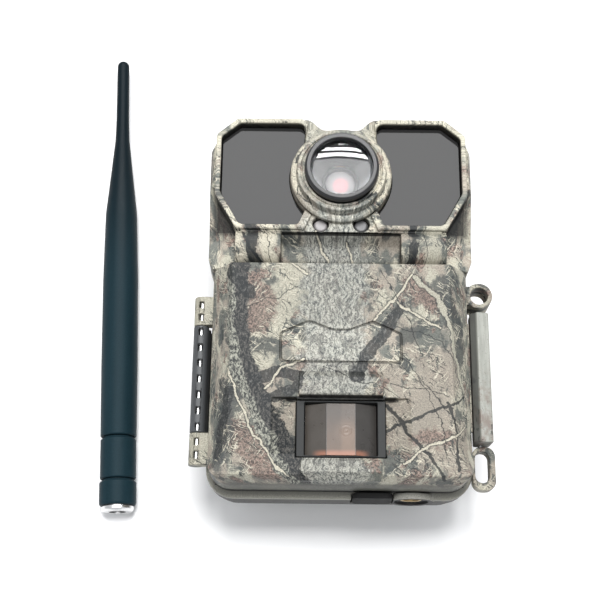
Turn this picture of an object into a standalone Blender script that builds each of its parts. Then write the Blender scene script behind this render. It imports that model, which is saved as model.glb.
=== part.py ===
"""Trail camera lying on its back, with its whip antenna unscrewed beside it.

The model is in metres, +Z up. X runs across the camera, +Y towards its head and +Z out of its front.
The origin is the middle of the flat tree bracket that the camera lies on.
Sizes below are in millimetres, and MM turns them into metres.
"""
from math import atan2, cos, pi, radians, sin, tan

import bmesh
import bpy
from mathutils import Matrix, Vector

MM = 0.001
GAP = 0.3                       # clearance between touching pieces

# Driving dimensions of the case
WALL = 2.5
CASE_HALF = 49.3                # half width of the rear housing at its rim
HEAD_HALF = 50.8                # half width at the head
FOOT_Y = -72.3
HEAD_Y = 73.2
BRACKET_PLATE = 2.5
BACK_Z = 7.3                    # back wall, on top of the tree bracket
RIM_Z = 46.0                    # top of the rear housing's rim

# Head
COVER_Z = 66.0                  # flat front of the head
FRAME_Z = 67.5                  # raised border round the infrared windows
CEILING_Z = 59.0                # inside of the head cover
HEAD_FOOT_Y = 25.1              # lower edge of the head's flat front
SHOULDER_Y = 13.4               # head cover's lower edge, next to the door
CHEEK_Z = 56.5
WINDOW_Z = 63.6
LENS_Y = 48.4                   # lens axis, on the middle plane
RING_BITE_R = 19.9              # round bite in each window, round the lens surround
BARREL_IN, BARREL_OUT = 22.8, 40.2
BARREL_R = 8.0
BARREL_Y, BARREL_Z = 21.0, 59.0

# Door
DOOR_HALF = 48.3
DOOR_FOOT_Y = -70.2
DOOR_TOP_Y = 12.9
DOOR_BACK_Z = 46.5
DOOR_EDGE_Z = 56.5              # where the side facets start
DOOR_Z = 66.0                   # flat front of the door
DOOR_FLAT_HALF = 41.0
DOOR_CEILING_Z = 61.8

# Passive infrared window in the door
PIR_HALF = 12.9
PIR_TOP_Y, PIR_FOOT_Y = -40.9, -60.4
PIR_FRAME_HALF = 16.1

# Hinge, on the left
HINGE_X, HINGE_Z = -53.0, 50.0
KNUCKLE_R = 2.9
PIN_R = 1.2
KNUCKLE_TOP = (-7.9, 3.5)       # Y spans of the door's two knuckles
KNUCKLE_FOOT = (-61.8, -49.8)
SLOT_WIDTH, SLOT_LENGTH = 1.85, 2.8
BARREL_SLOT_PITCH, KNUCKLE_SLOT_PITCH = 6.15, 4.9

# Latch and lugs, on the right
LATCH_X, LATCH_Z = 53.2, 44.8   # pivot of the latch lever
LATCH_SPAN = (-52.2, -1.9)
RING_X, RING_Y = 53.7, 5.0
RING_R, RING_HOLE_R = 5.1, 3.4
LATCH_PIN_R = 1.1
LUG_Z, LUG_THICK = 41.8, 5.4    # both lugs on the case
LUG_SPAN, LUG_OUT_X = (-69.1, -52.7), 58.2

# Foot end
TRIPOD_X, TRIPOD_Z = 27.0, 41.3
PORT_X, PORT_Z = 12.3, 43.0

# Deck under the door
DECK_Z = 44.0
DECK_HALF = 46.2
DECK_Y = (-60.2, 10.0)
BOARD_Z = 38.6
KEY_X, KEY_Y, KEY_PITCH = 26.0, -8.0, 10.5
KEY_R = 3.4
TRAY_TOP_Z = 27.0
CELL_PITCH, CELL_R = 15.2, 7.3

# Antenna: distances run along its own axis, from the foot end of its connector
WHIP_R = 7.5
WHIP_X, WHIP_Y = -87.6, -73.0
WHIP_LEAN = radians(2.83)
WHIP_LENGTH = 205.9


# ---------------------------------------------------------------- collections and materials

def new_collection(name):
    collection = bpy.data.collections.new(name)
    bpy.context.scene.collection.children.link(collection)
    return collection


def material(name, colour, roughness, metallic=0.0):
    result = bpy.data.materials.new(name)
    result.use_nodes = True
    shader = result.node_tree.nodes["Principled BSDF"]
    shader.inputs["Base Color"].default_value = (*colour, 1.0)
    shader.inputs["Roughness"].default_value = roughness
    shader.inputs["Metallic"].default_value = metallic
    result.diffuse_color = (*colour, 1.0)
    return result


for leftover in list(bpy.data.objects):
    bpy.data.objects.remove(leftover, do_unlink=True)

PARTS = new_collection("trail_camera")
CUTTERS = new_collection("cutters")

CAMO = material("camouflage_plastic", (0.30, 0.27, 0.20), 0.60)
OLIVE = material("olive_plastic", (0.30, 0.31, 0.24), 0.55)
BLACK = material("black_plastic", (0.02, 0.02, 0.022), 0.45)
WINDOW = material("dark_window", (0.06, 0.06, 0.065), 0.12)
GLASS = material("clear_glass", (0.80, 0.84, 0.86), 0.05)
FRESNEL = material("fresnel_plastic", (0.33, 0.28, 0.24), 0.35)
RUBBER = material("black_rubber", (0.015, 0.015, 0.015), 0.80)
WHIP = material("antenna_rubber", (0.012, 0.028, 0.036), 0.45)
STEEL = material("bright_steel", (0.72, 0.72, 0.72), 0.25, 1.0)
BRASS = material("brass", (0.72, 0.52, 0.22), 0.30, 1.0)
BOARD = material("circuit_board", (0.02, 0.14, 0.06), 0.50)
GREY = material("grey_plastic", (0.30, 0.30, 0.31), 0.50)
SCREEN = material("screen_glass", (0.02, 0.03, 0.04), 0.08)


# ---------------------------------------------------------------- modelling helpers

def add_part(name, mesh, finish, collection=PARTS):
    """Make an object of a mesh, with one material."""
    mesh.materials.clear()
    mesh.materials.append(finish)
    result = bpy.data.objects.new(name, mesh)
    collection.objects.link(result)
    return result


def as_cutter(piece):
    """Move a piece to the cutters, where only Boolean modifiers use it."""
    if piece.name in PARTS.objects:
        PARTS.objects.unlink(piece)
        CUTTERS.objects.link(piece)
    piece.hide_render = True
    piece.display_type = "WIRE"
    return piece


def boolean(target, other, operation):
    modifier = target.modifiers.new(operation.lower(), "BOOLEAN")
    modifier.operation = operation
    modifier.object = as_cutter(other)
    modifier.solver = "EXACT"


def cut(target, *others):
    for other in others:
        boolean(target, other, "DIFFERENCE")


def join(target, *others):
    for other in others:
        boolean(target, other, "UNION")


def bevel(target, width, segments=2, angle=40.0):
    modifier = target.modifiers.new("edge_round", "BEVEL")
    modifier.width = width * MM
    modifier.segments = segments
    modifier.limit_method = "ANGLE"
    modifier.angle_limit = radians(angle)


def rounded(corners, steps=4):
    """Closed outline through (x, y, radius) corners, each radius an arc tangent to both sides."""
    outline = []
    for index, (x, y, radius) in enumerate(corners):
        corner = Vector((x, y))
        if radius == 0:
            outline.append(corner)
            continue
        back = (Vector(corners[index - 1][:2]) - corner).normalized()
        ahead = (Vector(corners[(index + 1) % len(corners)][:2]) - corner).normalized()
        half = back.angle(ahead) / 2
        centre = corner + (back + ahead).normalized() * (radius / sin(half))
        start = corner + back * (radius / tan(half)) - centre
        end = corner + ahead * (radius / tan(half)) - centre
        first = atan2(start.y, start.x)
        sweep = (atan2(end.y, end.x) - first + pi) % (2 * pi) - pi
        for step in range(steps + 1):
            angle = first + sweep * step / steps
            outline.append(centre + radius * Vector((cos(angle), sin(angle))))
    return outline


def mirrored(corners):
    """Corners of a symmetric outline from those of its right half, foot to head."""
    return list(corners) + [(-x, y, radius) for x, y, radius in reversed(corners)]


def circle(x, y, radius, steps=24):
    return [Vector((x + radius * cos(2 * pi * i / steps), y + radius * sin(2 * pi * i / steps)))
            for i in range(steps)]


def box_outline(low, high, radius=0.0, steps=3):
    """Rectangle from its low to its high corner, with rounded corners."""
    return rounded([(high[0], low[1], radius), (high[0], high[1], radius),
                    (low[0], high[1], radius), (low[0], low[1], radius)], steps)


DIRECTIONS = {"X": Vector((1, 0, 0)), "Y": Vector((0, 1, 0)), "Z": Vector((0, 0, 1))}
# The first two columns of each are the directions that an outline's x and y take.
AXES = {
    "Z": Matrix.Identity(4),
    "X": Matrix(((0, 0, 1, 0), (1, 0, 0, 0), (0, 1, 0, 0), (0, 0, 0, 1))),
    "Y": Matrix(((1, 0, 0, 0), (0, 0, -1, 0), (0, 1, 0, 0), (0, 0, 0, 1))),
}


def prism(name, outlines, low, high, finish=CAMO, axis="Z"):
    """Flat outline, with any holes as further outlines, extruded from low to high along an axis.

    Along X an outline's points are (Y, Z), along Y they are (X, Z) and along Z they are (X, Y).
    """
    if not isinstance(outlines[0], list):
        outlines = [outlines]
    curve = bpy.data.curves.new(name, "CURVE")
    curve.dimensions = "2D"
    curve.fill_mode = "BOTH"
    curve.extrude = (high - low) * MM / 2
    for outline in outlines:
        spline = curve.splines.new("POLY")
        spline.points.add(len(outline) - 1)
        for point, place in zip(spline.points, outline):
            point.co = (place[0] * MM, place[1] * MM, 0.0, 1.0)
        spline.use_cyclic_u = True
    guide = bpy.data.objects.new(name + "_guide", curve)
    CUTTERS.objects.link(guide)
    shift = DIRECTIONS[axis] * (high + low) * MM / 2
    evaluated = guide.evaluated_get(bpy.context.evaluated_depsgraph_get())
    mesh = bpy.data.meshes.new_from_object(evaluated)
    bpy.data.objects.remove(guide, do_unlink=True)
    shape = bmesh.new()
    shape.from_mesh(mesh)
    bmesh.ops.remove_doubles(shape, verts=shape.verts, dist=1e-6)
    bmesh.ops.transform(shape, matrix=Matrix.Translation(shift) @ AXES[axis], verts=shape.verts)
    bmesh.ops.recalc_face_normals(shape, faces=shape.faces)
    shape.to_mesh(mesh)
    shape.free()
    mesh.name = name
    return add_part(name, mesh, finish)


def block(name, low, high, finish=CAMO):
    """Box from its low corner to its high corner."""
    shape = bmesh.new()
    size = [(b - a) * MM for a, b in zip(low, high)]
    middle = [(a + b) * MM / 2 for a, b in zip(low, high)]
    bmesh.ops.create_cube(shape, size=1.0)
    bmesh.ops.scale(shape, vec=size, verts=shape.verts)
    bmesh.ops.translate(shape, vec=middle, verts=shape.verts)
    mesh = bpy.data.meshes.new(name)
    shape.to_mesh(mesh)
    shape.free()
    return add_part(name, mesh, finish)


def rod(name, centre, radius, low, high, finish=CAMO, axis="Z", steps=24):
    """Cylinder along an axis; centre is in the other two axes, in the order that prism uses."""
    return prism(name, circle(*centre, radius, steps), low, high, finish, axis)


def turned(name, profile, finish, steps=32):
    """Closed (radius, height) profile, running down its outer side, turned about Z by a Screw."""
    mesh = bpy.data.meshes.new(name)
    points = [(radius * MM, 0.0, height * MM) for radius, height in profile]
    edges = [(i, (i + 1) % len(points)) for i in range(len(points))]
    if profile[0][0] == 0 and profile[-1][0] == 0:
        edges.pop()
    mesh.from_pydata(points, edges, [])
    result = add_part(name, mesh, finish)
    screw = result.modifiers.new("turn", "SCREW")
    screw.steps = steps
    screw.render_steps = steps
    screw.use_merge_vertices = True
    screw.merge_threshold = 0.00001
    screw.use_smooth_shade = True
    return result


def place(piece, x, y, z=0.0):
    piece.location = (x * MM, y * MM, z * MM)
    return piece


def set_origin(piece, x, y, z):
    """Put a piece's origin on its joint, leaving its shape where it is."""
    offset = Vector((x * MM, y * MM, z * MM))
    piece.data.transform(Matrix.Translation(-offset))
    piece.location = piece.location + offset
    return piece


def tapered(name, outline, levels, finish=CAMO):
    """Outline drawn at each (height, inset) level in turn, from the widest at the top downwards."""
    (top, top_inset), (second, _), *rest = levels
    result = prism(name, outline, second, top, finish)
    shape = bmesh.new()
    shape.from_mesh(result.data)
    reach = Vector((max(abs(p[0]) for p in outline), max(abs(p[1]) for p in outline)))
    shape.faces.ensure_lookup_table()
    floor = [face for face in shape.faces if face.normal.z < -0.9]
    inset = top_inset
    for height, next_inset in rest:
        grown = bmesh.ops.extrude_face_region(shape, geom=floor)
        bmesh.ops.delete(shape, geom=floor, context="FACES_ONLY")
        verts = [item for item in grown["geom"] if isinstance(item, bmesh.types.BMVert)]
        floor = [item for item in grown["geom"] if isinstance(item, bmesh.types.BMFace)]
        scale = [(side - next_inset) / (side - inset) for side in reach]
        for vert in verts:
            vert.co = Vector((vert.co.x * scale[0], vert.co.y * scale[1], height * MM))
        inset = next_inset
    bmesh.ops.recalc_face_normals(shape, faces=shape.faces)
    shape.to_mesh(result.data)
    shape.free()
    return result


# ---------------------------------------------------------------- outlines

def case_outline(inset=0.0):
    """Outline of the whole case, seen from the front."""
    foot = CASE_HALF - inset
    head = HEAD_HALF - inset
    return rounded(mirrored([
        (foot, FOOT_Y + inset, 10.0 - inset),
        (foot, SHOULDER_Y, 0.0),
        (head, SHOULDER_Y + 4.0, 0.0),
        (head, 61.5 - inset / 2, 5.0),
        (39.6 - inset / 2, HEAD_Y - inset, 5.0),
    ]))


def head_outline(inset=0.0):
    """Outline of the head cover, whose top edge dips between the two wings."""
    side = HEAD_HALF - inset
    return rounded(mirrored([
        (CASE_HALF - inset, SHOULDER_Y + inset, 0.0),
        (side, SHOULDER_Y + 4.0, 0.0),
        (side, 61.5 - inset / 2, 5.0),
        (39.6 - inset / 2, HEAD_Y - inset, 4.0),
        (12.4 + inset / 2, HEAD_Y - inset, 4.0),
        (7.6 + inset / 2, 68.8 - inset, 4.0),
    ]))


def window_outline(side, grow=0.0, bite_grow=None):
    """Infrared window on one side (1 right, -1 left), with a round bite for the lens ring."""
    bite = RING_BITE_R - (grow if bite_grow is None else bite_grow)
    corners = [
        (16.7 - grow / 2, 28.3 - grow), (38.9 + grow / 2, 28.3 - grow),
        (46.4 + grow, 41.8 - grow / 2), (46.4 + grow, 64.8 + grow / 2),
        (39.3 + grow / 2, 70.7 + grow), (13.6 - grow / 2, 70.7 + grow),
    ]
    low, high = radians(-46.0), radians(44.0)
    arc = [Vector((bite * cos(angle), LENS_Y + bite * sin(angle)))
           for angle in (high + (low - high) * step / 9 for step in range(10))]
    points = [Vector(corner) for corner in corners] + arc
    if side < 0:
        points = [Vector((-point.x, point.y)) for point in reversed(points)]
    return points


def door_outline(inset=0.0):
    half = DOOR_HALF - inset
    return rounded(mirrored([(half, DOOR_FOOT_Y + inset, 8.5 - inset),
                             (half, DOOR_TOP_Y - inset, 1.5 if inset == 0 else 0.0)]))


def door_section(inset=0.0):
    """Section of the door across the camera: flat front and a sloping facet at each side."""
    return rounded(mirrored([
        (DOOR_HALF - inset, DOOR_BACK_Z - (5.0 if inset else 0.0), 0.0),
        (DOOR_HALF - inset, DOOR_EDGE_Z - inset / 2, 1.5),
        (DOOR_FLAT_HALF - inset / 2, DOOR_CEILING_Z if inset else DOOR_Z, 1.5),
    ]), 2)


def plaque_outline():
    """Blank plaque with two shallow peaks."""
    return rounded(mirrored([(22.6, -26.2, 1.6), (22.6, -14.6, 1.2), (11.9, -9.7, 3.0),
                             (3.0, -13.0, 3.0)]), 3)


# ---------------------------------------------------------------- case

def hinge_slots(start, count, pitch):
    """Cutters for a row of slots over the hinge pin, down from start."""
    slots = []
    for index in range(count):
        high = start - index * pitch
        slots.append(block(f"hinge_slot_{start:.0f}_{index}",
                           (HINGE_X - SLOT_WIDTH / 2, high - SLOT_LENGTH, HINGE_Z),
                           (HINGE_X + SLOT_WIDTH / 2, high, HINGE_Z + 6.0)))
    return slots


def make_rear_housing():
    housing = tapered("rear_housing", case_outline(), [
        (RIM_Z, 0.0), (36.0, 0.0), (24.0, 1.2), (BACK_Z, 5.5)])
    cut(housing, tapered("housing_hollow", case_outline(WALL), [
        (RIM_Z + 5.0, 0.0), (36.0, 0.0), (24.0, 1.2), (BACK_Z + WALL, 5.0)]))

    boss = rod("tripod_boss", (TRIPOD_X, TRIPOD_Z), 8.7, FOOT_Y, DOOR_FOOT_Y - 0.4, CAMO, "Y", 32)
    sleeve = rod("tripod_sleeve", (TRIPOD_X, TRIPOD_Z), 4.8, DOOR_FOOT_Y - 1.0, -60.5, CAMO, "Y")
    port = block("port_block", (5.6, -71.0, 36.6), (19.0, -61.0, RIM_Z - 0.1))
    join(housing, boss, sleeve, port)

    cut(housing,
        rod("insert_hole", (TRIPOD_X, TRIPOD_Z), 4.3, -76.0, -58.0, CAMO, "Y"),
        block("socket_hole", (8.0, -76.0, 38.8), (16.6, -58.0, 45.2)),
        block("plug_recess", (4.5, -76.0, 36.0), (20.1, DOOR_FOOT_Y - 0.3, 52.0)),
        rod("jack_hole", (0.0, 30.0), 3.4, 60.0, 80.0, CAMO, "Y"))
    for x, y in screw_places():
        cut(housing, rod("screw_hole", (x, y), 1.8, 0.0, BACK_Z + 8.0, CAMO, "Z", 12))


def make_lugs():
    """Padlock ring at the top of the latch and cable lug below it, with the latch pin between them."""
    ring = rod("padlock_lug", (RING_X, RING_Y), RING_R, LUG_Z, LUG_Z + LUG_THICK)
    join(ring, block("padlock_lug_web", (CASE_HALF, RING_Y - 4.0, LUG_Z),
                     (RING_X, RING_Y + 4.0, LUG_Z + LUG_THICK - 1.3)))
    lug = prism("cable_lug", box_outline((CASE_HALF + GAP, LUG_SPAN[0]), (LUG_OUT_X, LUG_SPAN[1]), 2.4),
                LUG_Z, LUG_Z + LUG_THICK)
    cut(ring, block("padlock_lug_end", (0.0, -20.0, 30.0), (CASE_HALF + GAP, 20.0, 60.0)),
        rod("ring_hole", (RING_X, RING_Y), RING_HOLE_R, 38.0, 52.0),
        rod("ring_pin_hole", (LATCH_X, LATCH_Z), LATCH_PIN_R + GAP, -54.2, 2.0, CAMO, "Y", 12))
    cut(lug, prism("cable_slot", box_outline((50.6, -66.3), (55.9, -54.6), 2.6), 38.0, 52.0),
        rod("lug_pin_hole", (LATCH_X, LATCH_Z), LATCH_PIN_R + GAP, -54.2, 2.0, CAMO, "Y", 12))


def screw_places():
    return [(x, y) for y in (-52.0, 52.0) for x in (-36.5, 36.5)]


def make_case_screws():
    for index, (x, y) in enumerate(screw_places(), 1):
        screw = turned(f"case_screw_{index}", [
            (0.0, 6.0), (1.4, 6.0), (1.4, 0.6), (1.4, -0.2), (3.0, -0.2), (2.6, -1.9),
            (0.0, -1.9)], STEEL, 16)
        place(screw, x, y, BACK_Z - 0.2)
        cut(screw, block(f"screw_slot_{index}", (x - 2.0, y - 0.35, 0.0),
                         (x + 2.0, y + 0.35, BACK_Z - 1.4)))


def make_tree_bracket():
    """Plate with toothed edges for bark, and ribs that leave two channels for a strap behind it."""
    tooth = 4.0
    right = [(28.0, -44.0, 2.0)]
    for index in range(21):
        right.append((34.0 if index % 2 else 31.5, -40.0 + index * tooth, 0.0))
    right.append((28.0, 44.0, 2.0))
    bracket = prism("tree_bracket", rounded(mirrored(right)), 0.0, BRACKET_PLATE, BLACK)
    for number, (low, high) in enumerate(((-43.5, -39.5), (-16.0, 16.0), (39.5, 43.5))):
        join(bracket, block(f"bracket_rib_{number}", (-27.0, low, BRACKET_PLATE - 1.0),
                            (27.0, high, BACK_Z - GAP)))


def make_head_cover():
    cover = prism("head_cover", head_outline(), RIM_Z + GAP, COVER_Z, CAMO)
    shape = bmesh.new()
    shape.from_mesh(cover.data)
    for vert in shape.verts:
        if vert.co.z > 0.06:
            vert.co.x *= (HEAD_HALF - 1.3) / HEAD_HALF
    shape.to_mesh(cover.data)
    shape.free()

    cut(cover, block("shoulder_step", (-60.0, 10.0, CHEEK_Z), (60.0, HEAD_FOOT_Y, 80.0)))
    for side in (-1, 1):
        facet = prism(f"cheek_facet_{side}", [
            Vector((side * 47.4, 44.0)), Vector((side * 38.6, 25.0)), Vector((side * 38.6, 20.0)),
            Vector((side * 53.0, 20.0)), Vector((side * 53.0, 44.0))], 62.0, 80.0)
        cut(cover, facet)
    for side in (-1, 1):
        join(cover, prism(f"window_border_{side}", [window_outline(side, 2.2, 0.0)],
                          CEILING_Z + 1.0, FRAME_Z))
        strut = [Vector((side * x, y)) for x, y in ((11.4, 32.1), (14.0, 34.3), (17.4, 27.0), (14.2, 25.7))]
        join(cover, prism(f"strut_{side}", strut, CEILING_Z + 1.0, FRAME_Z))
        barrel = [Vector((y, z)) for y, z in circle(BARREL_Y, BARREL_Z, BARREL_R, 28)]
        join(cover, prism(f"shoulder_barrel_{side}", barrel, *sorted((side * BARREL_IN,
                                                                    side * BARREL_OUT)), CAMO, "X"))
    join(cover, prism("middle_barrel", circle(19.0, 56.2, 5.6, 24), -23.5, 23.5, CAMO, "X"))

    cut(cover, prism("head_hollow", head_outline(WALL), 40.0, CHEEK_Z - WALL))
    deep = prism("head_hollow_deep", head_outline(WALL + 1.0), 50.0, CEILING_Z)
    boolean(deep, block("head_hollow_limit", (-46.5, 28.0, 40.0), (46.5, 80.0, 70.0)), "INTERSECT")
    cut(cover, deep)
    cut(cover, rod("lens_hole", (0.0, LENS_Y), 14.4, 40.0, 80.0, CAMO, "Z", 32))
    for side in (-1, 1):
        cut(cover, prism(f"window_seat_{side}", window_outline(side, 0.3), 61.0, 80.0))
        cut(cover, prism(f"window_opening_{side}", window_outline(side, -1.6), 50.0, 80.0))
        cut(cover, rod(f"indicator_hole_{side}", (side * 7.75, 28.9), 3.2, 50.0, 80.0))
    return cover


def make_windows():
    for side, name in ((-1, "left"), (1, "right")):
        prism(f"ir_window_{name}", window_outline(side), 62.0, WINDOW_Z, WINDOW)
        prism(f"window_gasket_{name}", [window_outline(side, -0.1), window_outline(side, -1.5)],
              61.3, 61.7, RUBBER)
        board = prism(f"ir_led_board_{name}", window_outline(side, -4.5), 50.2, 51.8, BOARD)
        for row in range(4):
            for column in range(3):
                x = side * (25.5 + 7.0 * column)
                y = 36.5 + 8.5 * row
                join(board, rod(f"led_{name}_{row}_{column}", (x, y), 2.5, 51.5, 56.0, BOARD, "Z", 8))


# ---------------------------------------------------------------- lens

def make_lens():
    surround = turned("lens_surround", [
        (14.1, 73.0), (14.7, 73.0), (15.0, 72.2), (15.5, 72.2), (15.8, 73.0), (16.8, 73.0),
        (17.3, 72.4), (17.5, 69.4), (19.0, 68.9), (19.4, 68.3), (19.5, 66.3), (14.1, 66.3)], CAMO)
    place(surround, 0.0, LENS_Y)
    place(turned("lens_bezel", [
        (11.5, 76.6), (11.9, 77.0), (13.1, 77.0), (13.5, 76.6), (13.5, 60.2), (12.3, 60.2),
        (12.3, 75.9), (11.5, 75.9)], BLACK), 0.0, LENS_Y)
    place(turned("lens_cover", [
        (0.0, 75.6), (12.0, 75.6), (12.0, 74.2), (0.0, 74.2)], GLASS), 0.0, LENS_Y)
    place(turned("lens_cone", [
        (11.0, 73.8), (11.9, 73.8), (11.9, 72.6), (8.2, 61.0), (7.2, 61.0)], GREY), 0.0, LENS_Y)
    place(turned("lens_barrel", [
        (6.3, 60.6), (7.0, 60.6), (7.0, 56.0), (8.0, 56.0), (8.0, 50.4), (0.0, 50.4),
        (0.0, 57.6), (6.3, 57.6)], BLACK, 24), 0.0, LENS_Y)
    dome = [(5.9 * sin(a), 58.6 + 2.6 * cos(a)) for a in (pi / 2 * i / 5 for i in range(6))]
    place(turned("lens_element", [*dome, (5.9, 58.0), (0.0, 58.0)], GLASS, 24), 0.0, LENS_Y)
    block("image_sensor_board", (-13.0, LENS_Y - 12.0, 48.0), (13.0, LENS_Y + 12.0, 49.6), BOARD)


def make_indicators():
    for side, name in ((-1, "status_led_cap"), (1, "light_sensor_cap")):
        cap = turned(name, [(0.0, 64.6), (1.5, 64.4), (2.6, 63.8), (2.9, 63.0), (2.9, 57.5),
                            (0.0, 57.5)], GLASS, 20)
        place(cap, side * 7.75, 28.9)


# ---------------------------------------------------------------- door

def make_door():
    door = prism("front_door", door_section(), DOOR_FOOT_Y, DOOR_TOP_Y, CAMO, "Y")
    boolean(door, prism("door_corners", door_outline(), 40.0, 80.0), "INTERSECT")
    bevel(door, 0.7, 2, 35.0)

    hollow = prism("door_hollow", door_section(WALL), DOOR_FOOT_Y + WALL, DOOR_TOP_Y - WALL,
                   CAMO, "Y")
    boolean(hollow, prism("hollow_corners", door_outline(WALL), 30.0, 80.0), "INTERSECT")
    cut(door, hollow)

    brow = [Vector(p) for p in ((-28.6, 65.0), (-32.2, 69.6), (-38.6, 69.6), (-39.3, 69.0), (-39.3, 62.5),
                                (-28.6, 62.5))]
    sill = [Vector(p) for p in ((-62.2, 62.5), (-62.2, 67.8), (-62.8, 68.4), (-66.8, 68.4), (-69.4, 65.0),
                                (-69.4, 62.5))]
    join(door,
         prism("plaque", plaque_outline(), 64.0, DOOR_Z + 0.6),
         prism("brow", brow, -15.2, 15.2, CAMO, "X"),
         prism("sill", sill, -14.3, 14.3, CAMO, "X"))
    for side in (-1, 1):
        scoop = [Vector((side * x, z)) for x, z in ((16.0, 62.9), (25.6, DOOR_Z + 0.2),
                                                    (25.6, 72.0), (16.0, 72.0))]
        cut(door, prism(f"scoop_{side}", scoop, PIR_FOOT_Y + 0.5, -39.3, CAMO, "Y"))
    cut(door, block("pir_opening", (-PIR_FRAME_HALF - GAP, PIR_FOOT_Y - 0.9, 50.0),
                    (PIR_FRAME_HALF + GAP, PIR_TOP_Y + 0.9, 80.0)))

    for number, (low, high) in enumerate((KNUCKLE_TOP, KNUCKLE_FOOT)):
        knuckle = rod(f"door_knuckle_{number}", (HINGE_X, HINGE_Z), KNUCKLE_R, low, high, CAMO, "Y")
        web = block(f"door_knuckle_web_{number}", (HINGE_X, low, HINGE_Z - 1.6),
                    (-DOOR_HALF + 1.0, high, HINGE_Z + KNUCKLE_R - 0.2))
        join(door, knuckle, web)
    ring = rod("door_ring", (RING_X, RING_Y), RING_R, 47.6, 53.0)
    ring_web = block("door_ring_web", (47.0, 1.2, 47.7), (53.4, 8.8, 52.8))
    lip = block("door_lip", (47.0, LATCH_SPAN[0] + 4.0, 49.4), (49.5, LATCH_SPAN[1] - 4.0, 51.6))
    join(door, ring, ring_web, lip)
    cut(door,
        rod("pin_hole", (HINGE_X, HINGE_Z), PIN_R + GAP, -61.0, 3.0, CAMO, "Y", 12),
        rod("door_ring_hole", (RING_X, RING_Y), RING_HOLE_R, 40.0, 60.0),
        *hinge_slots(1.6, 2, KNUCKLE_SLOT_PITCH), *hinge_slots(-51.7, 2, KNUCKLE_SLOT_PITCH))
    set_origin(door, HINGE_X, 0.0, HINGE_Z)
    return door


def make_pir():
    frame = block("pir_frame", (-PIR_FRAME_HALF, PIR_FOOT_Y - 0.6, 57.0),
                  (PIR_FRAME_HALF, PIR_TOP_Y + 0.6, 65.6), BLACK)
    cut(frame, block("pir_frame_opening", (-PIR_HALF - GAP, PIR_FOOT_Y, 50.0),
                     (PIR_HALF + GAP, PIR_TOP_Y, 80.0)))
    facets = ((PIR_HALF, 60.0), (PIR_HALF, 62.2), (5.3, 64.9))
    back = ((4.9, 63.9), (PIR_HALF - 1.0, 61.4), (PIR_HALF - 1.0, 60.0))
    section = [*facets, *[(-x, z) for x, z in reversed(facets)],
               *[(-x, z) for x, z in reversed(back)], *back]
    prism("pir_window", [Vector(p) for p in section], PIR_FOOT_Y + GAP, PIR_TOP_Y - GAP, FRESNEL, "Y")
    place(turned("pir_sensor", [
        (0.0, 49.2), (4.2, 49.2), (4.6, 48.8), (4.6, 45.0), (5.2, 45.0), (5.2, DECK_Z + GAP),
        (0.0, DECK_Z + GAP)], STEEL, 24), 0.0, -50.6)


# ---------------------------------------------------------------- hinge and latch

def make_hinge():
    low, high = KNUCKLE_FOOT[1] + GAP, KNUCKLE_TOP[0] - GAP
    barrel = rod("hinge_barrel", (HINGE_X, HINGE_Z), KNUCKLE_R, low, high, BLACK, "Y")
    web = [Vector(p) for p in ((HINGE_X - 2.0, HINGE_Z - 1.6), (HINGE_X - 1.4, 42.5), (-CASE_HALF - GAP, 40.0),
                               (-CASE_HALF - GAP, 46.6), (HINGE_X + 1.6, 49.0))]
    join(barrel, prism("hinge_web", web, low, high, BLACK, "Y"))
    cut(barrel, rod("barrel_bore", (HINGE_X, HINGE_Z), PIN_R + GAP, -80.0, 20.0, BLACK, "Y", 12),
        *hinge_slots(-9.2, 7, BARREL_SLOT_PITCH))
    rod("hinge_pin", (HINGE_X, HINGE_Z), PIN_R, -60.6, 2.6, STEEL, "Y", 12)


def make_latch():
    low, high = LATCH_SPAN
    section = rounded([(50.4, 43.4, 0.8), (56.6, 43.4, 1.6), (57.0, 53.4, 0.8), (52.2, 54.2, 0.6),
                       (50.0, 51.6, 0.4)], 2)
    lever = prism("latch_lever", section, low, high, OLIVE, "Y")
    cut(lever, rod("lever_bore", (LATCH_X, LATCH_Z), LATCH_PIN_R + GAP, low - 5.0, high + 5.0, OLIVE, "Y", 12))
    set_origin(lever, LATCH_X, 0.0, LATCH_Z)
    rod("latch_pin", (LATCH_X, LATCH_Z), LATCH_PIN_R, -53.8, 1.4, STEEL, "Y", 12)


# ---------------------------------------------------------------- foot end and head end

def make_ports():
    insert = rod("tripod_insert", (TRIPOD_X, TRIPOD_Z), 4.0, FOOT_Y + 0.3, -61.0, BRASS, "Y")
    cut(insert, rod("insert_bore", (TRIPOD_X, TRIPOD_Z), 3.17, FOOT_Y - 5.0, -63.0, BRASS, "Y"))

    socket = block("dc_socket", (8.3, -70.0, 39.1), (16.3, -60.8, 44.9), BLACK)
    cut(socket, rod("socket_bore", (PORT_X, 42.0), 2.5, -75.0, -62.5, BLACK, "Y", 16))
    plug = prism("port_plug", box_outline((5.0, 36.5), (19.6, 50.4), 2.0), -73.0,
                 DOOR_FOOT_Y - 0.6, RUBBER, "Y")
    join(plug, rod("plug_nose", (PORT_X, 42.0), 2.1, -72.0, -64.0, RUBBER, "Y", 16))
    bevel(plug, 0.4, 2, 50.0)
    set_origin(plug, PORT_X, -71.0, 42.0)

    jack = rod("antenna_jack", (0.0, 30.0), 3.0, 62.0, 82.0, BRASS, "Y", 20)
    join(jack, rod("jack_flange", (0.0, 30.0), 5.0, 64.4, 66.4, BRASS, "Y", 20))
    cut(jack, rod("jack_bore", (0.0, 30.0), 1.2, 74.0, 90.0, BRASS, "Y", 12))
    nut = rod("antenna_jack_nut", (0.0, 30.0), 5.2, 73.6, 75.8, STEEL, "Y", 6)
    cut(nut, rod("nut_bore", (0.0, 30.0), 3.3, 70.0, 80.0, STEEL, "Y", 20))


# ---------------------------------------------------------------- deck and electronics

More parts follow.
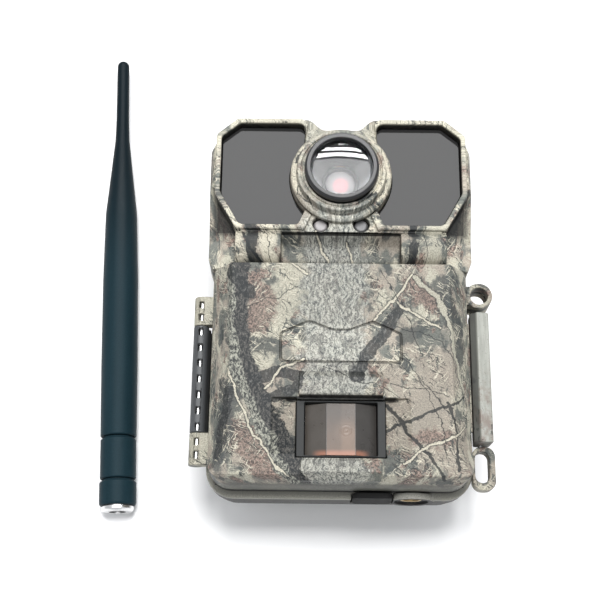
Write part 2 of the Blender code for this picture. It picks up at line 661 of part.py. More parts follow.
def key_places():
    return {
        "key_ok": (KEY_X, KEY_Y), "key_up": (KEY_X, KEY_Y + KEY_PITCH),
        "key_down": (KEY_X, KEY_Y - KEY_PITCH), "key_left": (KEY_X - KEY_PITCH, KEY_Y),
        "key_right": (KEY_X + KEY_PITCH, KEY_Y), "key_menu": (KEY_X, KEY_Y - 2 * KEY_PITCH),
    }


def make_deck():
    openings = [circle(x, y, KEY_R + GAP, 16) for x, y in key_places().values()]
    openings.append(box_outline((-38.3, -26.3), (6.3, 5.3)))
    openings.append(box_outline((18.6, -45.4), (33.4, -40.6)))
    openings.append(box_outline((-38.4, -44.2), (-11.6, -40.8)))
    openings.append(box_outline((-6.4, -34.2), (4.4, -30.6)))
    deck = prism("deck_plate", [box_outline((-DECK_HALF, DECK_Y[0]), (DECK_HALF, DECK_Y[1]), 2.0),
                                *openings], DECK_Z - 2.0, DECK_Z, BLACK)
    for row in range(2):
        for column in range(4):
            x, y = 21.5 + column * 3.0, -54.5 + row * 3.0
            cut(deck, rod(f"speaker_hole_{row}_{column}", (x, y), 0.8, 40.0, 48.0, BLACK, "Z", 6))
    prism("door_gasket", [box_outline((-DECK_HALF + 0.4, DECK_Y[0] + 0.4), (DECK_HALF - 0.4, DECK_Y[1] - 0.4),
                                      3.0),
                          box_outline((-DECK_HALF + 2.4, DECK_Y[0] + 2.4), (DECK_HALF - 2.4, DECK_Y[1] - 2.4),
                                      2.0)], DECK_Z + GAP, RIM_Z + 0.1, RUBBER)
    block("lcd_screen", (-38.0, -26.0, BOARD_Z + GAP), (6.0, 5.0, DECK_Z - 0.4), SCREEN)
    block("main_board", (-44.0, -46.0, BOARD_Z - 1.6), (44.0, 9.0, BOARD_Z), BOARD)


def make_controls():
    for name, (x, y) in key_places().items():
        radius = KEY_R
        key = turned(name, [(0.0, 45.9), (radius - 1.0, 45.7), (radius - 0.2, 45.2), (radius, 44.6),
                            (radius, 39.9), (0.0, 39.9)], GREY, 16)
        place(key, x, y)
    switch = block("power_switch", (19.0, -45.0, BOARD_Z + GAP), (25.0, -41.0, DECK_Z - 0.6), GREY)
    join(switch, block("switch_nib", (20.8, -44.4, 42.0), (23.2, -41.6, 46.4), GREY))


def make_electronics():
    socket = block("sd_socket", (-39.0, -46.0, 38.9), (-11.0, -39.0, 41.7), STEEL)
    cut(socket, block("sd_slot", (-37.2, -44.0, 39.6), (-12.8, -41.0, 50.0), STEEL))
    prism("sd_card", box_outline((-37.0, 39.8), (-13.0, 50.6), 1.0, 1), -43.6, -41.5, BLACK, "Y")
    usb = block("usb_socket", (-6.0, -34.0, 38.9), (4.0, -30.8, 44.4), STEEL)
    cut(usb, block("usb_opening", (-5.2, -33.4, 40.5), (3.2, -31.4, 50.0), STEEL))
    rod("speaker", (26.0, -53.0), 7.0, 38.4, 41.6, BLACK)


def make_battery_tray():
    """Open tray with a channel for each of four round cells and a contact strip at each end."""
    places = [CELL_PITCH * (index - 1.5) for index in range(4)]
    tray = block("battery_tray", (-33.0, -56.5, BACK_Z + 2.9), (33.0, 2.0, TRAY_TOP_Z), BLACK)
    floor, reach = BACK_Z + 4.7, places[-1] + CELL_R
    for x in places:
        cut(tray, block(f"cell_channel_{x:.0f}", (x - CELL_R, -54.5, floor), (x + CELL_R, 0.0, 50.0)))
    for name, low, bump in (("contact_strip_foot", -54.2, -53.7), ("contact_strip_head", -0.9, -2.0)):
        high = low + 0.6
        cut(tray, block(f"{name}_seat", (-reach, low - GAP, floor + 0.5), (reach, high + GAP, 50.0)))
        strip = block(name, (GAP - reach, low, floor + 0.8), (reach - GAP, high, TRAY_TOP_Z - 1.0), STEEL)
        for x in places:
            join(strip, rod(f"{name}_bump_{x:.0f}", (x, 19.4), 2.6, bump, bump + 1.2, STEEL, "Y", 10))


# ---------------------------------------------------------------- antenna

def make_antenna():
    """Whip, base, collar and connector along one axis, lying on the same surface as the camera."""
    axis = bpy.data.objects.new("antenna_axis", None)
    PARTS.objects.link(axis)
    axis.location = (WHIP_X * MM, WHIP_Y * MM, WHIP_R * MM)
    axis.rotation_euler = (-pi / 2, 0.0, WHIP_LEAN)

    tip = [(2.66 * sin(a), WHIP_LENGTH - 2.66 + 2.66 * cos(a)) for a in (pi / 2 * i / 4 for i in range(5))]
    whip = turned("antenna_whip", [
        *tip, (2.80, 175.0), (3.05, 168.0), (5.0, 146.6), (6.75, 130.0), (7.15, 116.0), (7.45, 90.0),
        (7.5, 60.0), (7.5, 33.4), (7.0, 32.6), (0.0, 32.6)], WHIP, 24)
    base = turned("antenna_base", [
        (0.0, 32.2), (6.2, 32.2), (6.2, 29.8), (7.1, 29.4), (7.45, 28.8), (7.45, 15.6), (7.0, 15.0),
        (0.0, 15.0)], WHIP, 24)
    collar = turned("antenna_collar", [
        (5.6, 14.6), (6.4, 14.6), (6.4, 12.4), (7.1, 12.0), (7.4, 11.4), (7.4, 4.4), (6.8, 3.7),
        (5.6, 3.7)], WHIP, 24)
    connector = turned("antenna_connector", [
        (0.0, 14.6), (5.2, 14.6), (5.2, 0.9), (4.6, 0.0), (3.4, 0.0), (3.4, 6.0), (0.9, 6.0),
        (0.9, 1.4), (0.6, 1.0), (0.0, 1.0)], STEEL, 24)
    for piece in (whip, base, collar, connector):
        piece.parent = axis


# ---------------------------------------------------------------- assembly

make_rear_housing()
make_lugs()
make_case_screws()
make_tree_bracket()
make_head_cover()
make_windows()
make_lens()
make_indicators()
make_door()
make_pir()
make_hinge()
make_latch()
make_ports()
make_deck()
make_controls()
make_electronics()
make_battery_tray()
make_antenna()
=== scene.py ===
"""Looks of the trail camera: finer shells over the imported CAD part, finishes, table, light and camera.

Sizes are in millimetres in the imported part's own frame, and MM turns them into metres.
"""
from math import atan2, cos, pi, radians, sin, tan

import bmesh
import bpy
from mathutils import Matrix, Vector


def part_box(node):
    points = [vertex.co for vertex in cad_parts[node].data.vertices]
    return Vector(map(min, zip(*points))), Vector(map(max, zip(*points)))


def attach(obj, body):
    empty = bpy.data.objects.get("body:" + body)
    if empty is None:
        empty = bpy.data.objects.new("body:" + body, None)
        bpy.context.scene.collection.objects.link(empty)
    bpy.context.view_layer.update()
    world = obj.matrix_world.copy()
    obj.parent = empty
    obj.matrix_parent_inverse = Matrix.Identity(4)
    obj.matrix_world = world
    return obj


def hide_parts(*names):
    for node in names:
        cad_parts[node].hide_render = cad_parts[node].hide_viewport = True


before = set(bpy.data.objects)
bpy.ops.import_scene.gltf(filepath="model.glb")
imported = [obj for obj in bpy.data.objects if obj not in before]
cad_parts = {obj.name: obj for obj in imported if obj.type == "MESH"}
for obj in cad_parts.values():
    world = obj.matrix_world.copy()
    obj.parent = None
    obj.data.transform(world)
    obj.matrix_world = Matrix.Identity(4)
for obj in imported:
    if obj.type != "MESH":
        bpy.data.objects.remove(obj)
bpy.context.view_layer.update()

MM = 0.001

# Driving dimensions, those of the CAD part
WALL = 2.5
CASE_HALF, HEAD_HALF = 49.3, 50.8
FOOT_Y, HEAD_Y = -72.3, 73.2
BACK_Z, RIM_Z = 7.3, 46
COVER_Z, FRAME_Z, CEILING_Z = 66, 67.5, 59
HEAD_FOOT_Y, SHOULDER_Y, CHEEK_Z = 25.1, 13.4, 56.5
LENS_Y, LENS_BITE_R = 48.4, 19.9
DOOR_HALF, DOOR_FOOT_Y, DOOR_TOP_Y = 48.3, -70.2, 12.9
DOOR_BACK_Z, DOOR_EDGE_Z, DOOR_Z, DOOR_FLAT_HALF = 46.5, 56.5, 66, 41
PIR_HALF, PIR_TOP_Y, PIR_FOOT_Y, PIR_FRAME_HALF = 12.9, -40.9, -60.4, 16.1
HINGE_X, HINGE_Z, KNUCKLE_R, PIN_R = -53, 50, 2.9, 1.2
KNUCKLES = ((-7.9, 3.5), (-61.8, -49.8))
LATCH_X, LATCH_Z, LATCH_SPAN, LATCH_PIN_R = 53.2, 44.8, (-52.2, -1.9), 1.1
RING_X, RING_Y, RING_R, RING_HOLE_R = 53.7, 5, 5.1, 3.4
TRIPOD_X, TRIPOD_Z, PORT_X = 27, 41.3, 12.3
SHOULDER_RISE, CHAMFER_Y, CHAMFER_X = 4, 61.5, 39.6
SCREW_X, SCREW_Y, INDICATOR_X, INDICATOR_Y = 36.5, 52, 7.75, 28.9
WHIP_X, WHIP_Y, WHIP_R, WHIP_LEAN, WHIP_LENGTH = -87.6, -73, 7.5, radians(2.83), 205.9

GAP = 0.3  # between pieces that fit into each other
FAR = 80  # beyond the camera's case, for the ends of cutters


# ---------------- mesh helpers

WORKSHOP = bpy.data.collections.new("workshop")
bpy.context.scene.collection.children.link(WORKSHOP)
SPREAD = {"X": lambda a, b, h: (h, a, b), "Y": lambda a, b, h: (a, h, b), "Z": lambda a, b, h: (a, b, h)}


def add_piece(name, shape):
    """Object of a bmesh drawn in millimetres."""
    bmesh.ops.scale(shape, vec=(MM, MM, MM), verts=shape.verts)
    bmesh.ops.recalc_face_normals(shape, faces=shape.faces)
    mesh = bpy.data.meshes.new(name)
    shape.to_mesh(mesh)
    shape.free()
    piece = bpy.data.objects.new(name, mesh)
    WORKSHOP.objects.link(piece)
    return piece


def rounded(corners, steps=8):
    """Closed outline through (x, y) corners, of which some have a radius as well for a tangent arc."""
    outline = []
    for index, (x, y, *radii) in enumerate(corners):
        corner, radius = Vector((x, y)), sum(radii)
        if radius == 0:
            outline.append(corner)
            continue
        back = (Vector(corners[index - 1][:2]) - corner).normalized()
        ahead = (Vector(corners[(index + 1) % len(corners)][:2]) - corner).normalized()
        half = back.angle(ahead) / 2
        centre = corner + (back + ahead).normalized() * (radius / sin(half))
        start = corner + back * (radius / tan(half)) - centre
        end = corner + ahead * (radius / tan(half)) - centre
        first = atan2(start.y, start.x)
        sweep = (atan2(end.y, end.x) - first + pi) % (2 * pi) - pi
        for step in range(steps + 1):
            angle = first + sweep * step / steps
            outline.append(centre + radius * Vector((cos(angle), sin(angle))))
    return outline


def mirrored(corners):
    """Corners of a symmetric outline from those of its right half, foot to head."""
    return list(corners) + [(-x, y, *radii) for x, y, *radii in reversed(corners)]


def circle(x, y, radius, steps=64):
    return [Vector((x + radius * cos(2 * pi * i / steps), y + radius * sin(2 * pi * i / steps)))
            for i in range(steps)]


def rectangle(low, high, radius=0, steps=6):
    return rounded([(high[0], low[1], radius), (high[0], high[1], radius),
                    (low[0], high[1], radius), (low[0], low[1], radius)], steps)


def loft(name, rings, axis="Z"):
    """Closed solid through rings of the same number of points; each ring is (outline, height)."""
    shape = bmesh.new()
    place = SPREAD[axis]
    rows = [[shape.verts.new(place(point[0], point[1], height)) for point in outline]
            for outline, height in rings]
    shape.faces.new(rows[0])
    shape.faces.new(rows[-1])
    for lower, upper in zip(rows, rows[1:]):
        for index in range(len(lower)):
            following = (index + 1) % len(lower)
            shape.faces.new((lower[index], lower[following], upper[following], upper[index]))
    return add_piece(name, shape)


def prism(name, outline, low, high, axis="Z"):
    """Outline extruded along an axis: its points are (Y, Z) for X, (X, Z) for Y and (X, Y) for Z."""
    return loft(name, [(outline, low), (outline, high)], axis)


def rod(name, centre, radius, low, high, axis="Z", steps=64):
    return prism(name, circle(*centre, radius, steps), low, high, axis)


def block(name, low, high):
    return prism(name, rectangle(low[:2], high[:2]), low[2], high[2])


def hull(name, points):
    """Convex solid round some points."""
    shape = bmesh.new()
    bmesh.ops.convex_hull(shape, input=[shape.verts.new(point) for point in points])
    return add_piece(name, shape)


def turned(name, corners, centre=(0, 0), steps=96):
    """Closed section of (radius, height, fillet) corners turned about Z; it meets the axis at radius 0."""
    section = rounded(corners, 4)
    shape = bmesh.new()
    rings = []
    for radius, height in section:
        if abs(radius) < 1e-6:
            rings.append([shape.verts.new((centre[0], centre[1], height))])
        else:
            rings.append([shape.verts.new((centre[0] + x, centre[1] + y, height))
                          for x, y in circle(0, 0, radius, steps)])
    for ring, following in zip(rings, rings[1:] + rings[:1]):
        if len(ring) == 1 and len(following) == 1:
            continue
        for index in range(steps):
            after = (index + 1) % steps
            if len(ring) == 1:
                shape.faces.new((ring[0], following[index], following[after]))
            elif len(following) == 1:
                shape.faces.new((ring[index], ring[after], following[0]))
            else:
                shape.faces.new((ring[index], ring[after], following[after], following[index]))
    return add_piece(name, shape)


def carve(target, *others, operation="DIFFERENCE"):
    """Cut pieces out of a target, or join or intersect them, and use them up."""
    for other in others:
        modifier = target.modifiers.new(operation.lower(), "BOOLEAN")
        modifier.operation = operation
        modifier.solver = "EXACT"
        modifier.object = other
    evaluated = target.evaluated_get(bpy.context.evaluated_depsgraph_get())
    shape = bmesh.new()
    shape.from_mesh(bpy.data.meshes.new_from_object(evaluated))
    bmesh.ops.remove_doubles(shape, verts=shape.verts, dist=0.000001)
    target.modifiers.clear()
    shape.to_mesh(target.data)
    shape.free()
    for other in others:
        bpy.data.objects.remove(other, do_unlink=True)
    return target


def join(target, *others):
    return carve(target, *others, operation="UNION")


def smooth(piece, width=0.4, angle=32, segments=3):
    """Round a piece's edges and shade it smoothly across them."""
    mesh = piece.data
    mesh.polygons.foreach_set("use_smooth", [True] * len(mesh.polygons))
    if width:
        facets = piece.modifiers.new("facets", "TRIANGULATE")
        facets.min_vertices = 5
        modifier = piece.modifiers.new("edge_round", "BEVEL")
        modifier.loop_slide = False
        modifier.width = width * MM
        modifier.segments = segments
        modifier.limit_method = "ANGLE"
        modifier.angle_limit = radians(angle)
        modifier.use_clamp_overlap = False
        modifier.miter_outer = "MITER_ARC"
    weighted = piece.modifiers.new("shading", "WEIGHTED_NORMAL")
    weighted.keep_sharp = True
    return piece


def crisp(piece, angle=35):
    """Shade a piece smoothly but keep its edges, which are drawn with their fillets, crisp."""
    shape = bmesh.new()
    shape.from_mesh(piece.data)
    for edge in shape.edges:
        edge.smooth = len(edge.link_faces) == 2 and edge.calc_face_angle() < radians(angle)
    shape.to_mesh(piece.data)
    shape.free()
    return smooth(piece, 0)


def dress(piece, body, slot, finish, *nodes):
    """Give a piece its finish, let it ride a body, and let it stand for CAD nodes."""
    piece.data.materials.clear()
    piece.data.materials.append(finish)
    WORKSHOP.objects.unlink(piece)
    bpy.context.scene.collection.objects.link(piece)
    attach(piece, body)
    if nodes:
        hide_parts(*nodes)
    return piece


# ---------------- material helpers

def rgba(colour):
    """A socket as it is, and a plain colour with full alpha."""
    return colour if isinstance(colour, bpy.types.NodeSocket) else (*colour, 1)


class Paint:
    """Builds a material's nodes; each value is a socket, a number or a colour."""

    def __init__(self, name, roughness=0.5, metallic=0, specular=0.5):
        self.material = bpy.data.materials.new(name)
        self.material.use_nodes = True
        self.tree = self.material.node_tree
        self.shader = self.tree.nodes["Principled BSDF"]
        self.shader.inputs["Roughness"].default_value = roughness
        self.shader.inputs["Metallic"].default_value = metallic
        self.shader.inputs["Specular IOR Level"].default_value = specular
        coordinates = self.tree.nodes.new("ShaderNodeTexCoord").outputs["Object"]
        self.place = self.vector("SCALE", coordinates, scale=1 / MM)

    def feed(self, socket, value):
        if isinstance(value, bpy.types.NodeSocket):
            self.tree.links.new(value, socket)
        else:
            socket.default_value = value

    def node(self, kind, *values, **settings):
        """New node with its properties set and its first inputs fed."""
        node = self.tree.nodes.new("ShaderNode" + kind)
        for name, setting in settings.items():
            setattr(node, name, setting)
        for socket, value in zip(node.inputs, values):
            self.feed(socket, value)
        return node

    def math(self, operation, *values):
        return self.node("Math", *values, operation=operation).outputs[0]

    def times(self, *factors):
        """Product of the factors."""
        product = factors[0]
        for factor in factors[1:]:
            product = self.math("MULTIPLY", product, factor)
        return product

    def linear(self, value, slope, start):
        """Value times slope plus start."""
        return self.math("MULTIPLY_ADD", value, slope, start)

    def vector(self, operation, *values, scale=None):
        node = self.node("VectorMath", *values, operation=operation)
        if scale is not None:
            self.feed(node.inputs["Scale"], scale)
        single = operation in ("DOT_PRODUCT", "LENGTH", "DISTANCE")
        return node.outputs["Value" if single else "Vector"]

    def combine(self, x, y, z):
        return self.node("CombineXYZ", x, y, z).outputs[0]

    def split(self, vector):
        return self.node("SeparateXYZ", vector).outputs

    def noise(self, where, size, detail=3, roughness=0.55, seed=0, colour=False):
        """Noise whose features are about size millimetres; each seed gives another pattern."""
        node = self.node("TexNoise", where, seed, 1 / size, detail, roughness,
                         noise_dimensions="4D" if seed else "3D")
        return node.outputs["Color" if colour else "Fac"]

    def cells(self, where, size, feature="F1"):
        """Distance inside random cells of about size millimetres."""
        node = self.node("TexVoronoi", where, feature=feature)
        node.inputs["Scale"].default_value = 1 / size
        return node.outputs["Distance"]

    def stretch(self, where, ratio):
        """Position whose patterns come out ratio times as long along each axis."""
        return self.vector("MULTIPLY", where, tuple(1 / r for r in ratio))

    def slant(self, where, angle, across, along, seed=0):
        """Position turned by an angle and measured in streaks of across by along millimetres."""
        c, s = cos(radians(angle)), sin(radians(angle))
        return self.combine(self.vector("DOT_PRODUCT", where, (c / across, s / across, 0)),
                            self.vector("DOT_PRODUCT", where, (-s / along, c / along, 0)), seed)

    def shade(self, colour, tone):
        """Colour times a brightness."""
        node = self.node("HueSaturation")
        self.feed(node.inputs["Color"], rgba(colour))
        self.feed(node.inputs["Value"], tone)
        return node.outputs[0]

    def span(self, value, low, high):
        """0 below low and 1 above high, or the other way round if low is the larger."""
        limits = (low, high, 0, 1) if low < high else (high, low, 1, 0)
        return self.node("MapRange", value, *limits, interpolation_type="SMOOTHSTEP", clamp=False).outputs[0]

    def zone(self, *spans):
        """1 inside every one of some spans, each given as (value, low, high)."""
        mask = self.span(*spans[0])
        for span in spans[1:]:
            mask = self.times(mask, self.span(*span))
        return mask

    def mix(self, factor, first, second):
        node = self.node("Mix", factor, data_type="RGBA")
        self.feed(node.inputs[6], rgba(first))
        self.feed(node.inputs[7], rgba(second))
        return node.outputs[2]

    def coat(self, colour, mask, strength, shade):
        """Colour with a shade laid over it where a mask is 1."""
        return self.mix(self.times(mask, strength), colour, shade)

    def coats(self, colour, *coats):
        """Colour with (strength, shade, spans...) coats laid over it in turn, each where its spans meet."""
        for strength, shade, *spans in coats:
            colour = self.coat(colour, self.zone(*spans), strength, shade)
        return colour

    def near(self, where, *lines):
        """Distance in millimetres from the nearest of some lines through points."""
        nearest = None
        for line in lines:
            for start, end in zip(line, line[1:]):
                along = Vector((end[0] - start[0], end[1] - start[1], 0))
                away = self.vector("SUBTRACT", (start[0], start[1], 0), where)
                share = self.vector("DOT_PRODUCT", away, tuple(-along / along.length_squared))
                share = self.math("MAXIMUM", self.math("MINIMUM", share, 1), 0)
                reach = self.vector("SCALE", tuple(along), scale=share)
                distance = self.vector("LENGTH", self.vector("ADD", reach, away))
                nearest = distance if nearest is None else self.math("MINIMUM", nearest, distance)
        return nearest

    def away_from(self, across, x, along, y):
        """Distance from the point (x, y) on the plane of two coordinates."""
        return self.vector("LENGTH", self.combine(self.math("SUBTRACT", across, x),
                                                  self.math("SUBTRACT", along, y), 0))

    def bump(self, height, depth):
        """Relief of depth millimetres."""
        node = self.tree.nodes.new("ShaderNodeBump")
        node.inputs["Strength"].default_value = 1
        node.inputs["Distance"].default_value = depth * MM
        self.feed(node.inputs["Height"], height)
        self.tree.links.new(node.outputs[0], self.shader.inputs["Normal"])

    def finish(self, colour, roughness=None):
        self.feed(self.shader.inputs["Base Color"], rgba(colour))
        if roughness is not None:
            self.feed(self.shader.inputs["Roughness"], roughness)
        return self.material


# ---------------- camouflage

TAN, OLIVE, CREAM = (0.248, 0.22, 0.18), (0.098, 0.103, 0.09), (0.33, 0.315, 0.252)
MOSS, RUSSET, UMBER = (0.034, 0.04, 0.039), (0.225, 0.16, 0.13), (0.04, 0.031, 0.027)
SOOT, STRAW, BLACK = (0.008, 0.01, 0.011), (0.45, 0.42, 0.335), (0.006, 0.006, 0.006)

# Soft patches of one shade round (x, y) lines, with their half width
WASHES = [
    (CREAM, 6, [(-17, 8), (-24, -9), (-28, -22)]),
    (TAN, 9, [(36, -28), (24, -50), (42, -56)]),
    (RUSSET, 5.5, [(-34, 4), (-28, -3), (-30, -9)]),
    (RUSSET, 3.5, [(26, 4), (34, -3)]),
    (RUSSET, 3.2, [(-12, -27), (2, -26)]),
    (RUSSET, 5, [(-40, -50), (-31, -57), (-26, -66)]),
    (RUSSET, 3, [(28, -53), (36, -53)]),
    (MOSS, 3.4, [(-33, -18), (-23, -19)]),
    (MOSS, 3.6, [(36, 4), (45, -13), (46, -24)]),
    (MOSS, 3, [(22, -15), (30, -10)]),
    (MOSS, 5, [(-40, -36), (-44, -60)]),
    (SOOT, 1.5, [(26, 27), (27, 14)]),
    (SOOT, 1.6, [(-15, 52), (-17, 49)]),
    (SOOT, 1.8, [(14, 42), (17, 39)]),
    (CREAM, 2.8, [(-46, 56), (-39, 66.5), (-14, 66.5), (14, 66.5), (39, 66.5), (46, 56)]),
    (STRAW, 2.4, [(-6, 61), (-14, 55), (-15, 42)]),
    (STRAW, 2.4, [(9, 61), (15, 50), (13, 37)]),
    (CREAM, 3.8, [(-47.5, 13), (-48, 19)]),
    (CREAM, 3.8, [(47.5, 13), (48, 19)]),
    (STRAW, 2.4, [(-38.5, 26), (-39, 15)]),
    (STRAW, 3, [(-27, 26), (-27, 15)]),
    (CREAM, 2.6, [(34, 26), (34, 15)]),
    (CREAM, 5.5, [(-70, -10), (-70, 4)]),
    (CREAM, 5.5, [(-68, -68), (-69, -54)]),
]

# Branches and twigs as (x, y) lines on the front, in millimetres
TRUNK = [(-37, 10), (-37, -10), (-34, -27), (-26, -45), (-14, -70)]
DARK_LIMBS = [
    [(-31, -32), (-23, -29), (-14, -30), (-15, -35), (-26, -39)],
    [(-40, -36), (-42, -47), (-46, -60)],
    [(-42, 10), (-33, 1)],
    [(22, -4), (10, -21), (5, -29)],
]
DARK_PATCHES = [
    [(-32.3, 27), (-33, 14)],
    [(26.2, 26), (26.6, 24)],
    [(26.4, 18), (27.2, 14)],
]
DARK_TWIGS = [
    [(-12, 58), (-15, 51)],
    [(10, 35), (4, 31)],
    [(17, -51), (26, -46), (34, -42), (48, -39)],
    [(38, -40), (41, -50), (41, -64)],
    [(18, -42), (24, -51), (38, -69)],
    [(-36, 24), (-30, 12)],
]
PALE_TWIGS = [
    [(-40, -28), (-37, -40), (-31, -51), (-19, -68)],
    [(-27, -35), (-21, -28), (-13, -24)],
    [(26, 8), (12, -9)],
    [(20, -2), (36, -12)],
    [(21, -62), (31, -56), (48, -49)],
    [(-18, 12), (-12, 8)],
    [(-9, 25), (-5, 15)],
    [(3, 23), (5, 15)],
]
PALE_LIMBS = [[(27, 7), (35, -1), (40, -13), (42, -23), (48, -37)]]
FINE_LINES = [
    [(20, -11), (32, -14), (39, -20), (43, -30)],
    [(14, 10), (24, -8), (29, -22)],
    [(-6, -27), (10, -32), (20, -38)],
    [(27, -30), (34, -44), (37, -60)],
    [(22, -22), (31, -35), (41, -47)],
    [(-46, -8), (-44, -30), (-47, -44)],
    [(-34, -4), (-24, -1), (-15, 3)],
    [(17, -33), (30, -35), (38, -38)],
    [(-16, 57), (-14, 47), (-15, 38), (-8, 31)],
    [(13, 58), (15, 45), (13, 36)],
    [(-29, 26), (-26, 20), (-27, 14)],
    [(31, 26), (30, 20), (33, 14)],
]
# Fibres of the ground as (angle from upright in degrees, width, length, shade)
FIBRES = [(33, 0.55, 8, SOOT), (-36, 0.6, 9, STRAW), (58, 0.5, 9, SOOT), (4, 0.8, 6, MOSS),
          (72, 0.45, 7, STRAW)]
TAPER = 0.35  # of the case's walls, across per unit of height
CORNER_SLOPE = 1.045  # of the head's chamfered corners, along per unit across


def drawn_in(p, z, start):
    """How far the case's walls have drawn in below the height where their taper starts."""
    return p.times(p.math("MAXIMUM", p.math("SUBTRACT", start, z), 0), TAPER)


def unrolled(p):
    """Position on the print, which runs flat over the front and on down the sides and ends."""
    x, y, z = p.split(p.place)
    drop = p.math("SUBTRACT", 64, z)
    taper = drawn_in(p, z, 36)
    place = []
    for value, flat_end, wall_start in ((x, 44, 49), (y, 69, 71.5)):
        wall = p.span(p.math("ADD", p.math("ABSOLUTE", value), taper), flat_end, wall_start)
        down = p.times(p.math("SIGN", value), drop, wall)
        lean = p.linear(p.span(value, -25, 25), 0.9, -0.45)
        place.append(p.math("ADD", p.linear(drop, lean, value), down))
    return p.combine(*place, 0)


def paint_ground(p, flat, bent):
    """Soft tan and grey-green litter with moss shadows, dry leaves and fibres."""
    tall = p.stretch(bent, (1, 1.5, 1))
    leaf = p.mix(p.span(p.noise(bent, 0.9, 3, 0.8), 0.42, 0.58), UMBER, RUSSET)
    colour = p.mix(p.span(p.noise(tall, 9, seed=1), 0.44, 0.54), TAN, OLIVE)
    colour = p.mix(p.span(p.noise(tall, 7, 4, seed=2), 0.51, 0.6), colour, CREAM)
    colour = p.coat(colour, p.span(p.noise(tall, 6, 4, 0.6, 3), 0.54, 0.6), 0.85, MOSS)
    colour = p.coat(colour, p.span(p.noise(bent, 10, 5, 0.7, 4), 0.55, 0.59), 0.9, leaf)
    ragged = p.noise(flat, 4, 5, 0.7, 12)
    for shade, half, line in WASHES:
        edge = p.linear(ragged, 14, p.near(bent, line))
        over = leaf if shade == RUSSET else shade
        colour = p.coat(colour, p.span(edge, half + 8.2, half + 5.8), 0.85, over)
    for number, (angle, across, along, shade) in enumerate(FIBRES):
        fibre = p.noise(p.slant(bent, angle, across, along, 10 * number), 1, 1.5)
        patch = p.noise(flat, 9, 2, seed=5 + number)
        colour = p.coat(colour, p.zone((fibre, 0.58, 0.64), (patch, 0.47, 0.55)), 0.8, shade)
    return colour


def paint_bark(p, flat, bent, colour):
    """Speckled grey bark down the middle of the print; its fissures run on into the wood."""
    offset = p.math("ABSOLUTE", p.math("ADD", p.split(bent)[0], 2.5))
    area = p.span(p.linear(p.noise(flat, 5, 4), 16, offset), 21.5, 17.5)
    fissure = p.noise(p.slant(bent, 0, 0.8, 1.7), 1, 4, 0.8)
    ridge = p.noise(p.slant(bent, -4, 2.2, 7), 1, 4)
    bark = p.mix(p.span(fissure, 0.4, 0.56), (0.045, 0.05, 0.05), (0.33, 0.33, 0.29))
    bark = p.coat(bark, p.span(ridge, 0.52, 0.6), 0.6, (0.04, 0.045, 0.045))
    strength = p.linear(p.span(p.split(flat)[1], 26, 32), -0.5, 0.85)
    return p.coat(colour, area, strength, bark), fissure


def paint_wood(p, flat, bent, fissure, colour):
    """Trunk, limbs and twigs laid over the ground, the pale ones with a dark edge."""
    wander = p.linear(p.noise(flat, 2.4, 4, 0.65), 2.6, -1.3)
    trunk = p.math("ADD", p.near(bent, [(x - 1.2, y) for x, y in TRUNK]), wander)
    lit = p.math("ADD", p.near(bent, [(x - 5, y - 2) for x, y in TRUNK]), wander)
    dark_side = p.mix(p.span(fissure, 0.45, 0.62), SOOT, (0.088, 0.084, 0.076))
    light_side = p.mix(p.span(fissure, 0.44, 0.58), (0.02, 0.022, 0.022), (0.27, 0.27, 0.225))
    colour = p.mix(p.span(trunk, 4.8, 4.2), colour, p.mix(p.span(lit, 4.2, 3.2), dark_side, light_side))
    rough = p.mix(p.span(fissure, 0.5, 0.66), SOOT, (0.1, 0.1, 0.095))
    for lines, half, shade in (
            (DARK_LIMBS, 2.1, rough), (DARK_PATCHES, 1.8, SOOT), (DARK_TWIGS, 0.55, SOOT),
            (PALE_LIMBS, 0.75, CREAM), (PALE_TWIGS, 0.36, STRAW), (FINE_LINES, 0.16, SOOT)):
        nearest = p.linear(wander, min(half, 1) * 0.5, p.near(bent, *lines))
        if shade in (CREAM, STRAW):
            colour = p.coat(colour, p.span(nearest, half + 0.6, half + 0.15), 0.7, SOOT)
        colour = p.coat(colour, p.span(nearest, half + 0.12, half - 0.12), 0.9, shade)
    return colour


def paint_foot(p, colour):
    """Grey-green foot end, darkened partly as its plain colour and partly as painted shade, with a pale rim
    round the case's mouth, a black seam and painted shadow on the tripod boss's end.
    """
    x, y, z = p.split(p.place)
    side = p.math("ABSOLUTE", x)
    from_boss = p.away_from(x, TRIPOD_X, z, TRIPOD_Z)
    foot = ((y, -69.2, -70), (side, 49.5, 48.5))
    rim = ((y, -50, -56), (z, 43.4, 43.8), (z, 46.5, 46.2))
    seam = ((y, -58, -63), (z, 46.3, 46.5), (z, 50.4, 49.4), (side, 49.4, 49.2))
    boss_end_shadow = ((from_boss, 8.5, 8.1), (y, -71.2, -71.6))
    boss_top = ((from_boss, 8.2, 8.6), (from_boss, 9.3, 9), (y, -70.4, -70.7), (z, 45, 46))
    # coats: the foot end, partly painted shade and darkest below the rim; the pale rim; the black seam;
    # painted shadow on the boss's end face; the boss's pale top
    return p.coats(
        colour, (0.85, (0.07, 0.071, 0.06), *foot), (0.9, (0.02, 0.02, 0.018), *foot, (z, 43.6, 43)),
        (0.75, (0.24, 0.235, 0.2), *rim), (0.97, BLACK, *seam), (0.97, BLACK, *boss_end_shadow),
        (1, (0.26, 0.255, 0.225), *boss_top))


